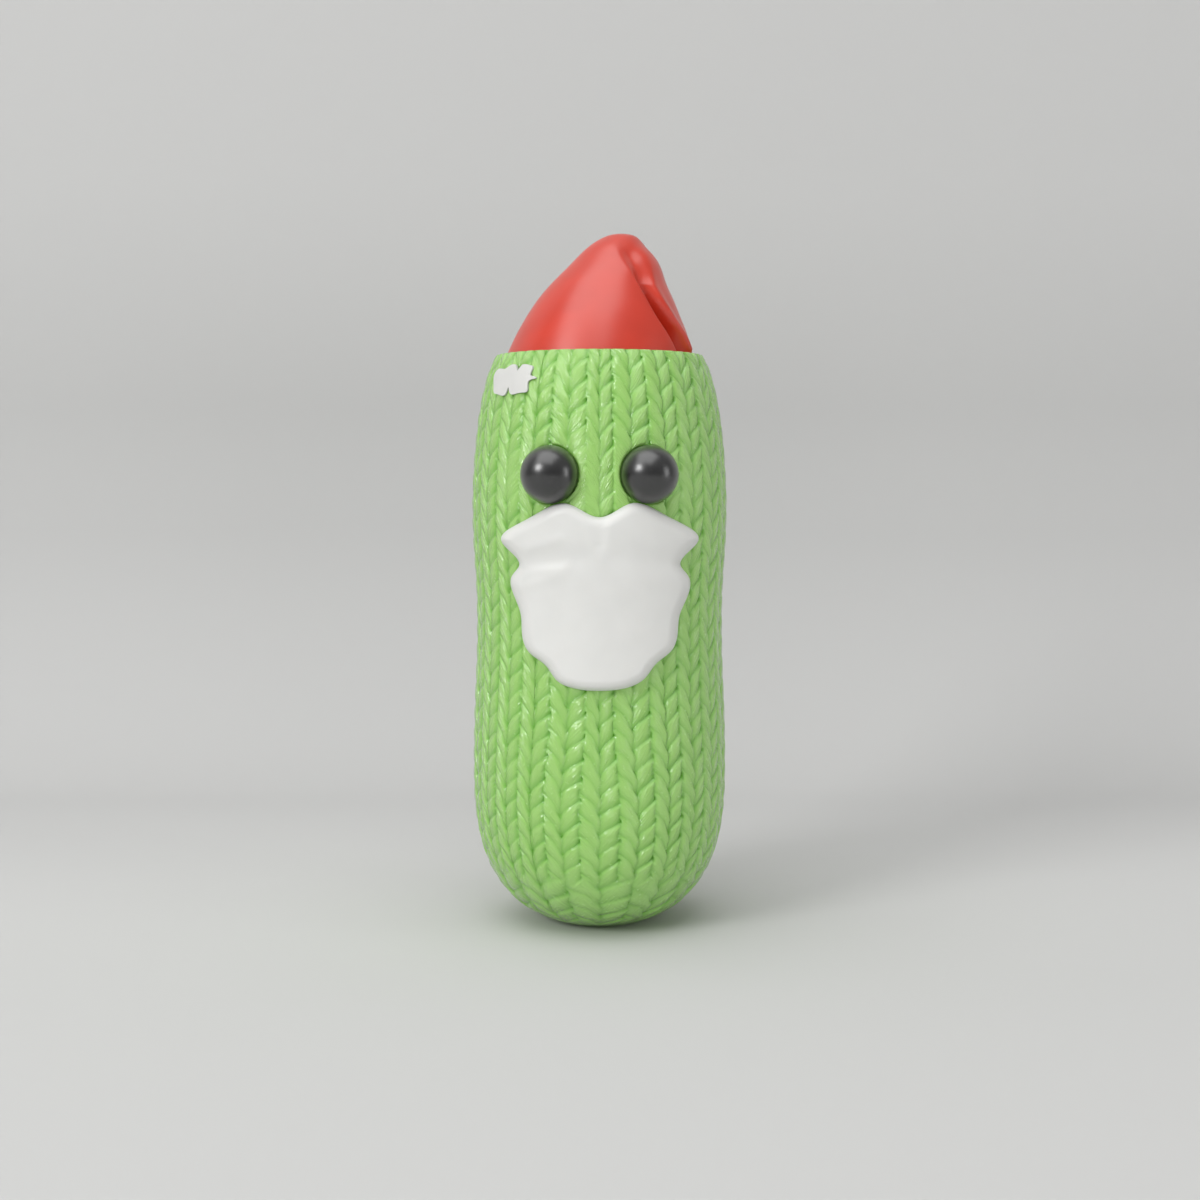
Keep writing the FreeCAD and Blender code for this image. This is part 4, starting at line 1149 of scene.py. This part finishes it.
@dataclass
class Studio:
    """Pale paper sweep, soft lamps and the camera at the photograph's place."""

    bend_start: float = 0.095
    bend_radius: float = 0.09
    half_width: float = 3.0
    front: float = -2.5
    top: float = 2.5
    world: str = "#c4c4c4"
    world_strength: float = 0.75
    world_dim: float = 0.36
    camera_place: Row = (0.00008, -0.26698, 0.071674)
    camera_pitch: float = 4.303
    lens: float = 50.0

    def paper(self, finish: Material) -> None:
        """The floor runs back, turns up in a quarter circle and rises as the wall.

        Args:
            finish: The paper.
        """
        turn = np.linspace(0.0, np.pi / 2, 40)
        back = np.concatenate([[self.front], self.bend_start + self.bend_radius * np.sin(turn),
                               [self.bend_start + self.bend_radius]])
        up = np.concatenate([[0.0], self.bend_radius * (1 - np.cos(turn)), [self.top]])
        side = np.array([-self.half_width, self.half_width])
        points = np.stack(np.broadcast_arrays(side, back[:, None], up[:, None]), axis=-1) / METRES
        sheet = make_piece("paper_sweep", points.reshape(-1, 3), [grid_quads(len(back), 2)], 80.0)
        assign(sheet, finish)

    def lamps(self) -> None:
        """Key from the left front, a long one on the right, a broad one overhead and a low fill."""
        for lamp in (Lamp("key_softbox", (-0.65, -0.62, 0.43), 1.5, 0.50, 0.50, 9.2),
                     Lamp("low_fill", (0.12, -0.99, 0.0), 0.9, 0.9, 0.12, 1.5, in_reflections=False),
                     Lamp("right_strip", (0.93, -0.35, 0.11), 0.8, 0.20, 0.45, 0.85),
                     Lamp("overhead_softbox", (-0.15, -0.28, 0.93), 0.9, 1.0, 0.9, 5.2)):
            lamp.build()

    def surroundings(self) -> None:
        """Pale light from all round: full overhead and dim at the level of the horizon."""
        world = bpy.data.worlds.new("pale_room")
        bpy.context.scene.world = world
        world.use_nodes = True
        tree = world.node_tree
        tree.nodes.clear()
        direction = add_node(tree, "TexCoord")
        parts = add_node(tree, "SeparateXYZ", {}, {0: direction.outputs["Generated"]})
        settings = {"From Min": 0.1, "From Max": 0.7, "To Min": self.world_dim, "To Max": self.world_strength}
        strength = add_node(tree, "MapRange", settings, {"Value": parts.outputs["Z"]})
        light = add_node(tree, "Background", {"Color": linear(self.world)},
                         {"Strength": strength.outputs["Result"]})
        add_node(tree, "OutputWorld", {}, {"Surface": light.outputs["Background"]})

    def camera(self) -> None:
        """A 50 mm lens at the height of the ornament's eyes, tipped down a few degrees."""
        data = bpy.data.cameras.new("photo_camera")
        data.lens, data.sensor_width, data.clip_start = self.lens, 36.0, 0.01
        camera = bpy.data.objects.new("photo_camera", data)
        camera.location = self.camera_place
        camera.rotation_euler = (math.radians(90.0 - self.camera_pitch), 0.0, 0.0)
        bpy.context.scene.collection.objects.link(camera)
        bpy.context.scene.camera = camera

    def build(self) -> None:
        """Set up everything that isn't the ornament."""
        self.paper(SweepPaper().build())
        self.lamps()
        self.surroundings()
        self.camera()
        bpy.context.scene.view_settings.view_transform = "Standard"


# ---- main
def dress_nodes() -> None:
    """Give the kept nodes their finishes."""
    inner = SatinVinyl("natural_moulded_abs", "#d9d8d2", "#d0cfc8", roughness=0.5).build()
    band = SatinVinyl("white_moulded_band", "#e4e3de", "#dad9d3", roughness=0.55, wave=2.0,
                      wave_depth=0.0004).build()
    spring = BrushedSteel("stamped_spring_steel", "#bfc0c4").build()
    turned = BrushedSteel("turned_mild_steel", "#adaeb0", ring=0.5, roughness=0.38).build()
    for name, material in (("mouth_collar", inner), ("hat_trim", band), ("eye_washers", spring),
                           ("beard_washers", spring), ("ballast_washer", spring), ("ballast_weight", turned)):
        assign(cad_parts[name], material)


def main() -> None:
    """Build and dress every piece, then report it."""
    logging.basicConfig(level=logging.INFO, format="%(name)s: %(message)s")
    Studio().build()
    body = KnitBody()
    pieces = body.build(KnitVinyl().build())
    beard = SatinVinyl("white_pvc_beard", "#dcdcd9", "#d9d9d6", scatter=0.1).build()
    pieces.append(Beard(body).build(beard))
    eye = SatinVinyl("black_abs_ball", "#0e0e0f", "#0c0c0d", roughness=0.33, wave_depth=0.000003,
                     skin_depth=0.0000002, mottle=0.005, gloss=0.7, lacquer=1.0).build()
    pieces += [BallEye(side).build(eye) for side in Side]
    hat = SatinVinyl("red_pvc_hat", "#cb3117", "#c32d13", roughness=0.31, wave=5.0, skin_depth=0.0000002,
                     mottle=0.005, gloss=0.95).build()
    pieces.append(FoldedHat().build(hat))
    patch = SatinVinyl("white_vinyl_patch", "#cfcfcc", "#c9c9c6", roughness=0.6).build()
    pieces.append(TornPatch(body).build(patch))
    dress_nodes()
    for piece in pieces:
        mesh = piece.data
        log.info("%s: %d faces, finish %s", piece.name, len(mesh.polygons), mesh.materials[0].name)


if __name__ == "__main__":
    main()
